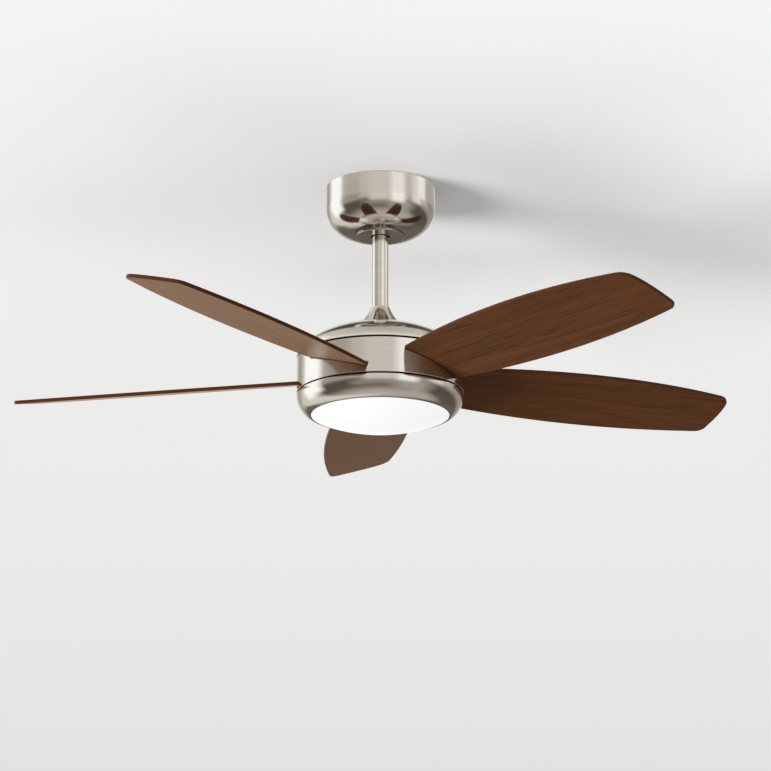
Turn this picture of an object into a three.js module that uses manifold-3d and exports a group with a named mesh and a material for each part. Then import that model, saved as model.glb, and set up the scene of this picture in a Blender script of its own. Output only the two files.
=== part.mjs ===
// Ceiling fan with a round light: canopy, short downrod, motor with five pitched blades, opal diffuser.
// Millimetres, +Z up. z = 0 is the ceiling and the origin lies on the fan's axis: everything hangs below it.
import * as THREE from "three";
import { mergeVertices } from "three/addons/utils/BufferGeometryUtils.js";
import Module from "manifold-3d";

const wasm = await Module();
wasm.setup();

// ---- Driving dimensions ---------------------------------------------------------------------------------
const GAP = 0.3; // between pieces that touch
const RUNNING_GAP = 1.5; // seen between turning and standing covers
const BODY_SIDES = 32; // facets round the large covers
const CANOPY_SIDES = 28;
const MOTOR_SIDES = 20;
const BALL_SIDES = 20;
const SMALL_SIDES = 16; // rod, yoke, shaft and bearings
const SCREW_SIDES = 6;

const CANOPY_RADIUS = 77.5;
const CANOPY_WALL_DEPTH = 30.5; // the straight wall, before it rounds in
const CANOPY_DEPTH = 70.2;
const CANOPY_FLAT_RADIUS = 35.3;
const CANOPY_SHEET = 1.2;
const CANOPY_WELL_DEPTH = 3.0; // the recess that hides the canopy screws
const CANOPY_WELL_RADIUS = 34.0;
const CANOPY_OPENING_RADIUS = 20;

const COVER_RADIUS = 34.8;
const COVER_SHEET = 1.2;
const COVER_BEAD = 0.5; // how far the edge's bead stands down
const COVER_BEAD_WIDTH = 2.2;
const COVER_SKIRT_SHEET = 1;
const COVER_SKIRT_CLEARANCE = 0.9; // under the recess's floor
const COVER_HOLE_RADIUS = 14.6; // leaves room for the rod to tilt

const BRACKET_LENGTH = 112;
const BRACKET_WIDTH = 32;
const BRACKET_SHEET = 2.5;
const BRACKET_LEG_SPAN = 65; // outside to outside
const BRACKET_CORNER = 6;
const BRACKET_SLOT_SPACING = 89;
const BRACKET_SLOT_WIDTH = 5.2;
const BRACKET_SLOT_LENGTH = 8; // between the centres of its round ends
const WIRE_HOLE_RADIUS = 7;
const SHELF_DEPTH = 6; // the ledges inside the legs that carry the receiver
const SHELF_WIDTH = 16;
const SEAT_RADIUS = 27;
const SEAT_LIP = 1; // seat floor to where the ball's hollow starts
const SEAT_RIM_DROP = 4; // ball centre to the seat's rim
const SEAT_MOUTH_CLEARANCE = 1.6; // beside the rod, where it is hooked in
const SEAT_KEY_DROP = 9; // ball centre to the foot of the key
const SEAT_KEY_REACH = 2.1; // how far the key stands into the ball's slot
const CANOPY_SCREW_LENGTH = 6.5;

const BALL_RADIUS = 20;
const BALL_TOP = 12; // centre to the upper flat
const BALL_BOTTOM = 14.5; // centre to the lower flat
const BALL_KEY_WIDTH = 5;
const BALL_KEY_DEPTH = 4;

const RECEIVER_LENGTH = 58;
const RECEIVER_WIDTH = 44;
const RECEIVER_HEIGHT = 17;
const RECEIVER_CORNER = 4;

const ROD_RADIUS = 11.4;
const ROD_WALL = 1.8;
const ROD_LENGTH = 170.5;
const ROD_ABOVE_BALL = 17; // ball centre to the rod's top
const PIN_RADIUS = 2.5;
const HANGER_PIN_DROP = 4; // the ball's upper flat to the pin
const HANGER_PIN_INSET = 5; // the pin's end inside the ball's edge
const YOKE_PIN_PROUD = 1.5; // the pin's end outside the yoke
const LEAD_RADIUS = 2.8;
const LEAD_PROUD = 3; // above the rod's top
const LEAD_BEND = 5.5;

const BODY_RADIUS = 117; // dome, hub band and light ring
const DOME_HEIGHT = 48.6;
const DOME_POWER = 1.8; // 2 is an ellipse, less is more pointed
const DOME_SHEET = 1.2;
const DOME_DROP = 2; // the rod's end to the dome's apex
const DOME_FIT = 1; // round the yoke's collar and flange
const COUPLING_COVER_HEIGHT = 29;
const COUPLING_COVER_TOP_RADIUS = 13.4;
const COUPLING_COVER_BASE_RADIUS = 33;
const COUPLING_COVER_BEND = { widening: 4.2, level: 0.59 }; // where its side turns outwards
const COUPLING_COVER_SHEET = 1.2;

const YOKE_RADIUS = 15.5;
const YOKE_HEIGHT = 11.5; // how far the yoke grips the rod
const YOKE_FLANGE_RADIUS = 26;
const YOKE_FLANGE = 4;
const YOKE_STOP = 1; // the lip under the rod's end
const YOKE_SOCKET = 5; // how deep the motor shaft sits in the yoke

const BAND_HEIGHT = 50.3;
const BAND_WALL = 2;
const BAND_LIP = 9; // the inward lip that carries the band
const EDGE_BREAK = 0.9; // the small bevel on the covers' edges

const RING_WALL_HEIGHT = 1.2;
const RING_DROP = 27.6;
const RING_POWER = 1.65;
const RING_SHEET = 1.5;
const RING_INSET = 19.2; // how far the mouth lies inside the ring's widest part
const RING_LEDGE = 3; // the inward ledge that carries the diffuser
const RING_LEDGE_SHEET = 2;
const RING_LIP = 3.7; // the mouth's edge up to the ledge
const RING_FLANGE_SHEET = 2;
const RING_FLANGE = 15;

const DIFFUSER_DEPTH = 20.2;
const DIFFUSER_SHEET = 2;
const DIFFUSER_GAP = 0.8; // the dark line round the diffuser
const DIFFUSER_SKIRT = 12;
const LUG_COUNT = 3;
const LUG_ANGLE = 10; // degrees round the diffuser that a lug takes
const LUG_TURN = 20; // degrees from locked to free
const LUG_HEIGHT = 2.5;
const LUG_INSET = 0.3; // inside the dish's edge
const NOTCH_SPARE = 3; // degrees that a notch is wider than its lug

const BLADE_COUNT = 5;
const BLADE_PHASE = 22; // degrees from +X to the first blade
const BLADE_PITCH = 15.3;
const BLADE_THICKNESS = 5;
const BLADE_EDGE_ROUND = 1.4;
const BLADE_ROOT_GAP = 4; // motor case to the blade's inner end
const BLADE_TIP = 533.4;
const BLADE_DROP = 26.3; // top of the hub band to the blade axis
const TRAILING = { root: 46, inner: 70.6, outer: 71.9, tip: 45.6, setback: 2.6 };
const LEADING = { root: 44, inner: 72.6, outer: 78.9, tip: 49.2, setback: 7.8 };
const TIP_CROWN_SHIFT = 15.3; // how far the crown of the tip lies towards the leading edge
const TIP_CORNER = 12;
const ROOT_CORNER = 8;
const SLOT_CLEARANCE = 0.9;
const SLOT_DEPTH = 10; // where the blade's width is taken for the slot

const ROOT_SPACE = 35; // outside of the band to the motor's case, where the blades' roots are held
const MOTOR_WALL = 2.7;
const MOTOR_BEVEL = 4;
const MOTOR_TOP_DROP = 24.5; // dome apex to the top of the rotor
const AIR_GAP = 1;
const MAGNET_THICKNESS = 5.3;
const MAGNET_HEIGHT = 36;
const STATOR_HEIGHT = 32;
const STATOR_LIFT = 3; // above the middle of the motor
const STATOR_SLOTS = 12;
const TOOTH_LENGTH = 38.7; // with its shoe
const TOOTH_WIDTH = 10;
const TOOTH_SHOE = 4;
const TOOTH_SHOE_TAPER = 1; // the shoe thins towards its tips
const SLOT_MOUTH = 4;
const WINDING_END = 6; // how far the coil ends stand out of the core
const WINDING_INSET = { inner: 4, outer: 6 }; // from the core's hub and from the shoes
const WINDING_SLOPE = { inner: 3, outer: 4 }; // the coil ends narrow towards their crown
const SLOT_FILL = { depth: 0.55, width: 9 };
const SHAFT_RADIUS = 9;
const SHAFT_SHOULDER = 3;
const SHAFT_BORE = 6.4;
const BEARING_RADIUS = 17.5;
const BEARING_HEIGHT = 8;
const BEARING_RACE = 3.2;
const BOSS_WALL = 4;
const SHOULDER_LIFT = 2; // the upper bearing's seat above the winding
const LIP_CLEARANCE = 2; // from the shaft to the lips that hold the bearings
const LIP_SHEET = 2.5;
const CARRIER_SHEET = 3;
const RIB = { width: 3, height: 5, inset: 2 }; // on the carrier, one under each blade
const WINDOW_RADIUS = 9;
const WEDGE_WIDTH = 64;
const WEDGE_INSET = 2; // its outer corners inside the band
const BLADE_SCREW_INSET = 12; // from the wedge's sides and the blade's root
const BLADE_SCREW_GRIP = 8; // how deep the screws go into the wedge
const SCREW_RADIUS = 2.2;
const SCREW_HEAD_RADIUS = 4.6;
const SCREW_HEAD = 2.2;

const LIGHT_PLATE_SHEET = 2;
const LIGHT_PLATE_DROP = 0.6; // below the ring's upper edge
const TRAY_CLEARANCE = 2.5; // inside the diffuser's skirt
const TRAY_SHEET = 1.5;
const TRAY_FLANGE = 8;
const TRAY_DEPTH = 17.4;
const LED_INSET = 3.5; // the board's edge inside the tray's
const LED_SHEET = 1.6;
const LED_RINGS = [{ radius: 30, count: 6 }, { radius: 64, count: 12 }];
const LED_SIZE = 5;
const LED_HEIGHT = 1.1; // how far a lamp stands out of the board
const LED_SINK = 0.3; // and how deep it sits in it
const DRIVER_LENGTH = 60;
const DRIVER_WIDTH = 34;
const DRIVER_HEIGHT = 12;
const DRIVER_CORNER = 3;
const DRIVER_CLEARANCE = 3.5; // beside the shaft nut
const NUT_RADIUS = 15;
const NUT_HEIGHT = 5;
const SHAFT_END = 0.7; // the shaft's end below the nut

// ---- Levels and radii worked out from them --------------------------------------------------------------
const wellZ = -(CANOPY_DEPTH - CANOPY_WELL_DEPTH); // underside of the canopy's recessed floor
const bracketBottomZ = wellZ + CANOPY_SHEET + GAP;
const seatFloorZ = bracketBottomZ + BRACKET_SHEET;
const seatSphereRadius = BALL_RADIUS + GAP;
const seatDrop = Math.sqrt(seatSphereRadius ** 2 - COVER_HOLE_RADIUS ** 2);
const ballZ = seatFloorZ + SEAT_LIP + seatDrop;
const rodTopZ = ballZ + ROD_ABOVE_BALL;
const rodBottomZ = rodTopZ - ROD_LENGTH;
const rodBore = ROD_RADIUS - ROD_WALL;
const rodFit = ROD_RADIUS + GAP;
const receiverZ = -BRACKET_SHEET - GAP - RECEIVER_HEIGHT;
const hangerPinZ = ballZ + BALL_TOP - HANGER_PIN_DROP;

const domeApexZ = rodBottomZ - DOME_DROP;
const domeRimZ = domeApexZ - DOME_HEIGHT;
const bandTopZ = domeRimZ - RUNNING_GAP;
const bandBottomZ = bandTopZ - BAND_HEIGHT;
const bandInner = BODY_RADIUS - BAND_WALL;
const ringTopZ = bandBottomZ - RUNNING_GAP;
const ringShoulderZ = ringTopZ - RING_WALL_HEIGHT;
const ringMouthZ = ringShoulderZ - RING_DROP;
const bladeZ = bandTopZ - BLADE_DROP;
const motorRadius = BODY_RADIUS - ROOT_SPACE;
const bladeRoot = motorRadius + BLADE_ROOT_GAP;

const domeSeatRadius = YOKE_FLANGE_RADIUS + DOME_FIT;
const domeSeatZ = domeHeightAt(domeSeatRadius, DOME_SHEET); // the flat under the dome that the yoke carries
const yokeFlangeZ = domeSeatZ - GAP;
const yokeBottomZ = yokeFlangeZ - YOKE_FLANGE;
const yokeFloorZ = rodBottomZ - GAP;
const yokePinZ = rodBottomZ + YOKE_HEIGHT / 2;
const shaftTopZ = yokeBottomZ + YOKE_SOCKET;
const pinHole = PIN_RADIUS + GAP;
const shaftFit = SHAFT_RADIUS + GAP;

const carrierBottomZ = bandBottomZ + BAND_WALL + GAP;
const carrierTopZ = carrierBottomZ + CARRIER_SHEET;
const motorTopZ = domeApexZ - MOTOR_TOP_DROP;
const motorInner = motorRadius - MOTOR_WALL;
const magnetInner = motorInner - GAP - MAGNET_THICKNESS;
const statorRadius = magnetInner - AIR_GAP;
const statorHub = statorRadius - TOOTH_LENGTH;
const statorZ = (motorTopZ + carrierTopZ) / 2 + STATOR_LIFT; // middle of the stack
const bearingFit = BEARING_RADIUS + GAP;
const bossRadius = bearingFit + BOSS_WALL;
const runningHole = SHAFT_RADIUS + LIP_CLEARANCE;
const shoulderTopZ = statorZ + STATOR_HEIGHT / 2 + WINDING_END + SHOULDER_LIFT;
const shoulderBottomZ = statorZ - STATOR_HEIGHT / 2 - WINDING_END;
const upperBearingZ = shoulderTopZ + GAP;
const lowerBearingZ = shoulderBottomZ - GAP - BEARING_HEIGHT;

const lightPlateTopZ = ringTopZ - LIGHT_PLATE_DROP;
const lightPlateBottomZ = lightPlateTopZ - LIGHT_PLATE_SHEET;
const trayFloorZ = lightPlateBottomZ - GAP - TRAY_DEPTH;
const ledTopZ = trayFloorZ - GAP;
const nutBottomZ = lightPlateBottomZ - GAP - NUT_HEIGHT;
const shaftBottomZ = nutBottomZ - SHAFT_END;

const mouthRadius = BODY_RADIUS - RING_INSET;
const diffuserRadius = mouthRadius - DIFFUSER_GAP;
const ledgeInner = mouthRadius - RING_LEDGE;
const ledgeBottomZ = ringMouthZ + RING_LIP;
const ledgeTopZ = ledgeBottomZ + RING_LEDGE_SHEET;
const skirtOuter = ledgeInner * Math.cos(Math.PI / BODY_SIDES) - GAP; // clears the ledge's facets as it turns
const skirtInner = skirtOuter - DIFFUSER_SHEET;
const trayRadius = skirtInner - TRAY_CLEARANCE;
const driverX = NUT_RADIUS + DRIVER_CLEARANCE;
const driverZ = trayFloorZ + TRAY_SHEET + GAP;

// ---- Materials ------------------------------------------------------------------------------------------
function material(color, roughness, metalness) {
  return new THREE.MeshStandardMaterial({ color, roughness, metalness });
}
const NICKEL = material(0xbfb9ae, 0.25, 1);
const STEEL = material(0x9fa3a6, 0.4, 1);
const ALUMINIUM = material(0xc3c6c8, 0.45, 1);
const WALNUT = material(0x5f3320, 0.45, 0);
const OPAL = material(0xf8f8f4, 0.35, 0);
const DARK_PLASTIC = material(0x24262a, 0.6, 0);
const WHITE_PLASTIC = material(0xe8e8e4, 0.5, 0);
const COPPER = material(0xa8622f, 0.4, 0.8);
const MAGNET = material(0x3b3d40, 0.5, 0.6);

// ---- Tools for shapes -----------------------------------------------------------------------------------
const degrees = THREE.MathUtils.degToRad;
const point = (x, y) => new THREE.Vector2(x, y);

/** Six times the volume that a triangle soup encloses; negative when its faces point inwards. */
function enclosed(positions, triangles) {
  const a = new THREE.Vector3();
  const b = new THREE.Vector3();
  const c = new THREE.Vector3();
  let sum = 0;
  for (let i = 0; i < triangles.length; i += 3) {
    a.fromArray(positions, 3 * triangles[i]);
    b.fromArray(positions, 3 * triangles[i + 1]);
    c.fromArray(positions, 3 * triangles[i + 2]);
    sum += a.dot(b.cross(c));
  }
  return sum;
}

/** A solid that can be joined and cut, from a closed geometry. */
function solid(geometry) {
  const bare = geometry.clone();
  bare.deleteAttribute("normal");
  bare.deleteAttribute("uv");
  const merged = mergeVertices(bare, 1e-4);
  const positions = new Float32Array(merged.attributes.position.array);
  const index = merged.index.array;
  const triangles = [];
  for (let i = 0; i < index.length; i += 3) {
    const [a, b, c] = [index[i], index[i + 1], index[i + 2]];
    if (a !== b && b !== c && c !== a) triangles.push(a, b, c);
  }
  if (enclosed(positions, triangles) < 0) triangles.reverse();
  return new wasm.Manifold(
    new wasm.Mesh({ numProp: 3, vertProperties: positions, triVerts: new Uint32Array(triangles) }),
  );
}

/** The geometry of a solid, ready to be a mesh. */
function surface(body) {
  const mesh = body.getMesh();
  const geometry = new THREE.BufferGeometry();
  geometry.setAttribute("position", new THREE.BufferAttribute(mesh.vertProperties, 3));
  geometry.setIndex(new THREE.BufferAttribute(mesh.triVerts, 1));
  const flat = geometry.toNonIndexed();
  flat.computeVertexNormals();
  return flat;
}

/** A profile of [radius, z] points turned round the axis. It closes on itself or on the axis. */
function turned(profile, segments = SMALL_SIDES) {
  const closed = profile.map(([r, z]) => point(r, z));
  const onAxis = profile[0][0] === 0 && profile.at(-1)[0] === 0;
  if (!onAxis) closed.push(closed[0].clone());
  return solid(new THREE.LatheGeometry(closed, segments).rotateX(Math.PI / 2));
}

const ring = (inner, outer, bottom, top, segments) =>
  turned([[inner, bottom], [outer, bottom], [outer, top], [inner, top]], segments);

const disc = (radius, bottom, top, segments) =>
  turned([[0, bottom], [radius, bottom], [radius, top], [0, top]], segments);

/** A box from its low corner to its high corner. */
function block(low, high) {
  const [x, y, z] = high.map((value, axis) => value - low[axis]);
  const box = new THREE.BoxGeometry(x, y, z);
  box.translate((low[0] + high[0]) / 2, (low[1] + high[1]) / 2, (low[2] + high[2]) / 2);
  return solid(box);
}

/** A round bar through the axis along X at a height. */
function crossBar(radius, halfLength, z, segments = 12) {
  const bar = new THREE.CylinderGeometry(radius, radius, 2 * halfLength, segments);
  bar.rotateZ(Math.PI / 2);
  bar.translate(0, 0, z);
  return solid(bar);
}

/** A flat shape given thickness between two heights. */
function plate(shape, bottom, top, curveSegments = 8) {
  const sheet = new THREE.ExtrudeGeometry(shape, { depth: top - bottom, bevelEnabled: false, curveSegments });
  sheet.translate(0, 0, bottom);
  return solid(sheet);
}

/** A rectangle with round corners, centred on the axis. */
function roundedRectangle(length, width, corner) {
  const x = length / 2;
  const y = width / 2;
  const shape = new THREE.Shape();
  shape.absarc(x - corner, y - corner, corner, 0, Math.PI / 2);
  shape.absarc(corner - x, y - corner, corner, Math.PI / 2, Math.PI);
  shape.absarc(corner - x, corner - y, corner, Math.PI, 1.5 * Math.PI);
  shape.absarc(x - corner, corner - y, corner, 1.5 * Math.PI, 2 * Math.PI);
  return shape;
}

/**
 * A rounded shoulder from a wall at [r0, z0], where it is upright, to a crown at [r1, z1], where it is level.
 * Power 2 is an ellipse. The last point is where the shoulder reaches the stop radius.
 */
function shoulder([r0, z0], [r1, z1], power, steps, stopRadius = r1) {
  const last = Math.acos(((stopRadius - r1) / (r0 - r1)) ** (power / 2));
  const points = [];
  for (let i = 0; i <= steps; i += 1) {
    const angle = (last * i) / steps;
    const across = Math.max(Math.cos(angle), 0) ** (2 / power);
    const along = Math.sin(angle) ** (2 / power);
    points.push([r1 + (r0 - r1) * across, z0 + (z1 - z0) * along]);
  }
  return points;
}

/** Height of the dome at a radius, on its outside or inset by the sheet. */
function domeHeightAt(radius, inset = 0) {
  const across = radius / (BODY_RADIUS - inset);
  return domeRimZ + (DOME_HEIGHT - inset) * (1 - across ** DOME_POWER) ** (1 / DOME_POWER);
}

const fan = new THREE.Group();

/** Adds a solid to the fan, or to one of its turned groups, as a named piece. */
function add(name, body, finish, parent = fan) {
  const mesh = new THREE.Mesh(surface(body), finish);
  mesh.name = name;
  parent.add(mesh);
}

// ---- Ceiling side: bracket, canopy, cover, receiver -----------------------------------------------------
const legOuter = BRACKET_LEG_SPAN / 2;
const legInner = legOuter - BRACKET_SHEET;
const canopyScrewX = (CANOPY_OPENING_RADIUS + SEAT_RADIUS) / 2;

/** A ceiling plate on two legs that carry a ball seat, open at the front so that the rod can be hooked in. */
function hangerBracket() {
  const outline = roundedRectangle(BRACKET_LENGTH, BRACKET_WIDTH, BRACKET_CORNER);
  for (const side of [-1, 1]) {
    const slot = new THREE.Path();
    const x = (side * BRACKET_SLOT_SPACING) / 2;
    slot.absarc(x, BRACKET_SLOT_LENGTH / 2, BRACKET_SLOT_WIDTH / 2, 0, Math.PI);
    slot.absarc(x, -BRACKET_SLOT_LENGTH / 2, BRACKET_SLOT_WIDTH / 2, Math.PI, 2 * Math.PI);
    outline.holes.push(slot);
  }
  const wireHole = new THREE.Path();
  wireHole.absarc(legInner / 2, 0, WIRE_HOLE_RADIUS, 0, 2 * Math.PI);
  outline.holes.push(wireHole);
  let body = plate(outline, -BRACKET_SHEET, 0, 6);

  const halfWidth = BRACKET_WIDTH / 2;
  const halfShelf = SHELF_WIDTH / 2;
  const shelfTop = receiverZ - GAP;
  for (const side of [-1, 1]) {
    const outer = side * legOuter;
    const inner = side * legInner;
    const shelf = side * (legInner - SHELF_DEPTH);
    const [legLow, legHigh] = [Math.min(inner, outer), Math.max(inner, outer)];
    const [shelfLow, shelfHigh] = [Math.min(shelf, outer), Math.max(shelf, outer)];
    body = body.add(block([legLow, -halfWidth, bracketBottomZ], [legHigh, halfWidth, 0]));
    const shelfBottom = shelfTop - BRACKET_SHEET;
    body = body.add(block([shelfLow, -halfShelf, shelfBottom], [shelfHigh, halfShelf, shelfTop]));
  }
  body = body.add(block([-legOuter, -halfWidth, bracketBottomZ], [legOuter, halfWidth, seatFloorZ]));

  const seatTopZ = ballZ - SEAT_RIM_DROP;
  body = body.add(disc(SEAT_RADIUS, bracketBottomZ, seatTopZ));
  const ballSpace = new THREE.SphereGeometry(seatSphereRadius, BALL_SIDES, 12);
  ballSpace.rotateX(Math.PI / 2);
  ballSpace.translate(0, 0, ballZ);
  body = body.subtract(solid(ballSpace));
  body = body.subtract(disc(COVER_HOLE_RADIUS, bracketBottomZ - 1, ballZ));
  const mouth = ROD_RADIUS + SEAT_MOUTH_CLEARANCE;
  body = body.subtract(block([-mouth, -SEAT_RADIUS - 5, bracketBottomZ - 1], [mouth, 0, seatTopZ + 1]));

  const key = BALL_KEY_WIDTH / 2 - GAP;
  const keyInner = BALL_RADIUS - SEAT_KEY_REACH;
  body = body.add(block([-key, keyInner, ballZ - SEAT_KEY_DROP], [key, SEAT_RADIUS - 1, seatTopZ + 1]));
  for (const side of [-1, 1]) {
    const holeTop = bracketBottomZ + CANOPY_SCREW_LENGTH;
    const hole = disc(SCREW_RADIUS + GAP, bracketBottomZ - 1, holeTop, SCREW_SIDES);
    body = body.subtract(hole.translate([side * canopyScrewX, 0, 0]));
  }
  return body;
}

/** A spun cup with a recessed floor that the bracket's screws hold. */
function canopy() {
  const inner = CANOPY_RADIUS - CANOPY_SHEET;
  const stepInner = CANOPY_WELL_RADIUS + CANOPY_SHEET;
  const outside = shoulder([CANOPY_RADIUS, -CANOPY_WALL_DEPTH], [CANOPY_FLAT_RADIUS, -CANOPY_DEPTH], 2, 6);
  const floor = [stepInner, -CANOPY_DEPTH + CANOPY_SHEET];
  const inside = shoulder([inner, -CANOPY_WALL_DEPTH], floor, 2, 3).reverse();
  const profile = [
    [CANOPY_RADIUS, 0],
    ...outside,
    [CANOPY_WELL_RADIUS, -CANOPY_DEPTH],
    [CANOPY_WELL_RADIUS, wellZ],
    [CANOPY_OPENING_RADIUS, wellZ],
    [CANOPY_OPENING_RADIUS, wellZ + CANOPY_SHEET],
    [stepInner, wellZ + CANOPY_SHEET],
    ...inside,
    [inner, 0],
  ];
  let body = turned(profile, CANOPY_SIDES);
  for (const side of [-1, 1]) {
    const hole = disc(SCREW_RADIUS + GAP, wellZ - 1, wellZ + CANOPY_SHEET + 1, SCREW_SIDES);
    body = body.subtract(hole.translate([side * canopyScrewX, 0, 0]));
  }
  return body;
}

/** The snap-on cover under the canopy, with a bead round its edge and a skirt that fits the recess. */
function canopyCover() {
  const top = -CANOPY_DEPTH - GAP;
  const bottom = top - COVER_SHEET;
  const skirtTop = wellZ - COVER_SKIRT_CLEARANCE;
  const skirt = CANOPY_WELL_RADIUS - GAP;
  const profile = [
    [COVER_HOLE_RADIUS, top],
    [COVER_HOLE_RADIUS, bottom],
    [COVER_RADIUS - COVER_BEAD_WIDTH, bottom],
    [COVER_RADIUS - 0.75 * COVER_BEAD_WIDTH, bottom - COVER_BEAD],
    [COVER_RADIUS - 0.25 * COVER_BEAD_WIDTH, bottom - COVER_BEAD],
    [COVER_RADIUS, bottom + COVER_SHEET / 4],
    [COVER_RADIUS, top],
    [skirt, top],
    [skirt, skirtTop],
    [skirt - COVER_SKIRT_SHEET, skirtTop],
    [skirt - COVER_SKIRT_SHEET, top],
  ];
  return turned(profile, CANOPY_SIDES);
}

/** A pan-head screw standing on its head, turned round the axis; z is the underside of the head. */
function screw(z, shank, direction) {
  const tip = z + direction * shank;
  const crown = z - direction * SCREW_HEAD;
  const headTop = SCREW_HEAD_RADIUS * 0.75;
  const profile = [[0, crown], [headTop, crown], [SCREW_HEAD_RADIUS, z]];
  profile.push([SCREW_RADIUS, z], [SCREW_RADIUS, tip], [0, tip]);
  return turned(profile, SCREW_SIDES);
}

add("hanger_bracket", hangerBracket(), STEEL);
add("canopy", canopy(), NICKEL);
add("canopy_cover", canopyCover(), NICKEL);
[-1, 1].forEach((side, i) => {
  const body = screw(wellZ - GAP, CANOPY_SCREW_LENGTH, 1).translate([side * canopyScrewX, 0, 0]);
  add(`canopy_screw_${i + 1}`, body, STEEL);
});

/** The remote receiver, a moulded box that slides into the bracket above the ball. */
function remoteReceiver() {
  const shape = roundedRectangle(RECEIVER_LENGTH, RECEIVER_WIDTH, RECEIVER_CORNER);
  return plate(shape, receiverZ, receiverZ + RECEIVER_HEIGHT, 4);
}
add("remote_receiver", remoteReceiver(), DARK_PLASTIC);

// ---- Hanging parts: ball, rod, coupling, dome -----------------------------------------------------------
/** A ball cut flat at both ends, bored for the rod, with a groove for the pin and a slot for the key. */
function hangerBall() {
  const profile = [];
  const from = Math.asin(-BALL_BOTTOM / BALL_RADIUS);
  const to = Math.asin(BALL_TOP / BALL_RADIUS);
  const steps = 6;
  for (let i = 0; i <= steps; i += 1) {
    const angle = from + ((to - from) * i) / steps;
    profile.push([BALL_RADIUS * Math.cos(angle), ballZ + BALL_RADIUS * Math.sin(angle)]);
  }
  profile.push([rodFit, ballZ + BALL_TOP], [rodFit, ballZ - BALL_BOTTOM]);
  let body = turned(profile, BALL_SIDES);
  const grooveFloor = hangerPinZ - pinHole;
  const grooveTop = ballZ + BALL_TOP + 1;
  body = body.subtract(block([-BALL_RADIUS, -pinHole, grooveFloor], [BALL_RADIUS, pinHole, grooveTop]));
  const key = BALL_KEY_WIDTH / 2;
  const keyFloor = BALL_RADIUS - BALL_KEY_DEPTH;
  const low = [-key, keyFloor, ballZ - BALL_RADIUS];
  return body.subtract(block(low, [key, BALL_RADIUS + 1, ballZ + BALL_RADIUS]));
}

function downrod() {
  let body = ring(rodBore, ROD_RADIUS, rodBottomZ, rodTopZ);
  for (const z of [hangerPinZ, yokePinZ]) {
    body = body.subtract(crossBar(pinHole, ROD_RADIUS + 1, z));
  }
  return body;
}

/** The flared cover that slides down the rod onto the dome and hides the yoke. */
function couplingCover() {
  const base = domeHeightAt(COUPLING_COVER_BASE_RADIUS) + GAP;
  const top = base + COUPLING_COVER_HEIGHT;
  const flare = (inset) => {
    const start = point(COUPLING_COVER_TOP_RADIUS - inset, top - inset);
    const { widening, level } = COUPLING_COVER_BEND;
    const bend = point(COUPLING_COVER_TOP_RADIUS + widening - inset, base + level * COUPLING_COVER_HEIGHT);
    const end = point(COUPLING_COVER_BASE_RADIUS - inset, base);
    return new THREE.QuadraticBezierCurve(start, bend, end).getPoints(5).map((p) => [p.x, p.y]);
  };
  const neck = [[rodFit, top], [rodFit, top - COUPLING_COVER_SHEET]];
  return turned([...flare(0).reverse(), ...neck, ...flare(COUPLING_COVER_SHEET)]);
}

/** The collar that grips the rod, with a flange that carries the dome and a socket for the shaft. */
function motorYoke() {
  const collarTop = rodBottomZ + YOKE_HEIGHT;
  const socketTop = shaftTopZ + GAP;
  const profile = [
    [YOKE_FLANGE_RADIUS, yokeBottomZ],
    [YOKE_FLANGE_RADIUS, yokeFlangeZ],
    [YOKE_RADIUS, yokeFlangeZ],
    [YOKE_RADIUS, collarTop],
    [rodFit, collarTop],
    [rodFit, yokeFloorZ],
    [rodBore - YOKE_STOP, yokeFloorZ],
    [rodBore - YOKE_STOP, socketTop],
    [shaftFit, socketTop],
    [shaftFit, yokeBottomZ],
  ];
  const body = turned(profile);
  return body.subtract(crossBar(pinHole, YOKE_RADIUS + 1, yokePinZ));
}

function topCover() {
  const hole = YOKE_RADIUS + DOME_FIT;
  const outside = shoulder([BODY_RADIUS, domeRimZ], [0, domeApexZ], DOME_POWER, 7, hole);
  const under = [BODY_RADIUS - DOME_SHEET, domeRimZ];
  const inside = shoulder(under, [0, domeApexZ - DOME_SHEET], DOME_POWER, 4, domeSeatRadius);
  return turned([...outside, [hole, domeSeatZ], ...inside.reverse()], BODY_SIDES);
}

add("hanger_ball", hangerBall(), DARK_PLASTIC);
add("hanger_pin", crossBar(PIN_RADIUS, BALL_RADIUS - HANGER_PIN_INSET, hangerPinZ), STEEL);
add("downrod", downrod(), NICKEL);
add("coupling_cover", couplingCover(), NICKEL);
add("motor_yoke", motorYoke(), STEEL);
add("yoke_pin", crossBar(PIN_RADIUS, YOKE_RADIUS + YOKE_PIN_PROUD, yokePinZ), STEEL);
add("top_cover", topCover(), NICKEL);

// ---- Motor: shaft, bearings, stator, rotor --------------------------------------------------------------
function motorShaft() {
  const wide = SHAFT_RADIUS + SHAFT_SHOULDER;
  const collarTop = carrierBottomZ - 3 * GAP;
  const collarBottom = lightPlateTopZ + GAP;
  const profile = [
    [SHAFT_BORE, shaftTopZ],
    [SHAFT_BORE, shaftBottomZ],
    [SHAFT_RADIUS, shaftBottomZ],
    [SHAFT_RADIUS, collarBottom],
    [wide, collarBottom],
    [wide, collarTop],
    [SHAFT_RADIUS, collarTop],
    [SHAFT_RADIUS, shoulderBottomZ],
    [wide, shoulderBottomZ],
    [wide, shoulderTopZ],
    [SHAFT_RADIUS, shoulderTopZ],
    [SHAFT_RADIUS, shaftTopZ],
  ];
  return turned(profile);
}

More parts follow.
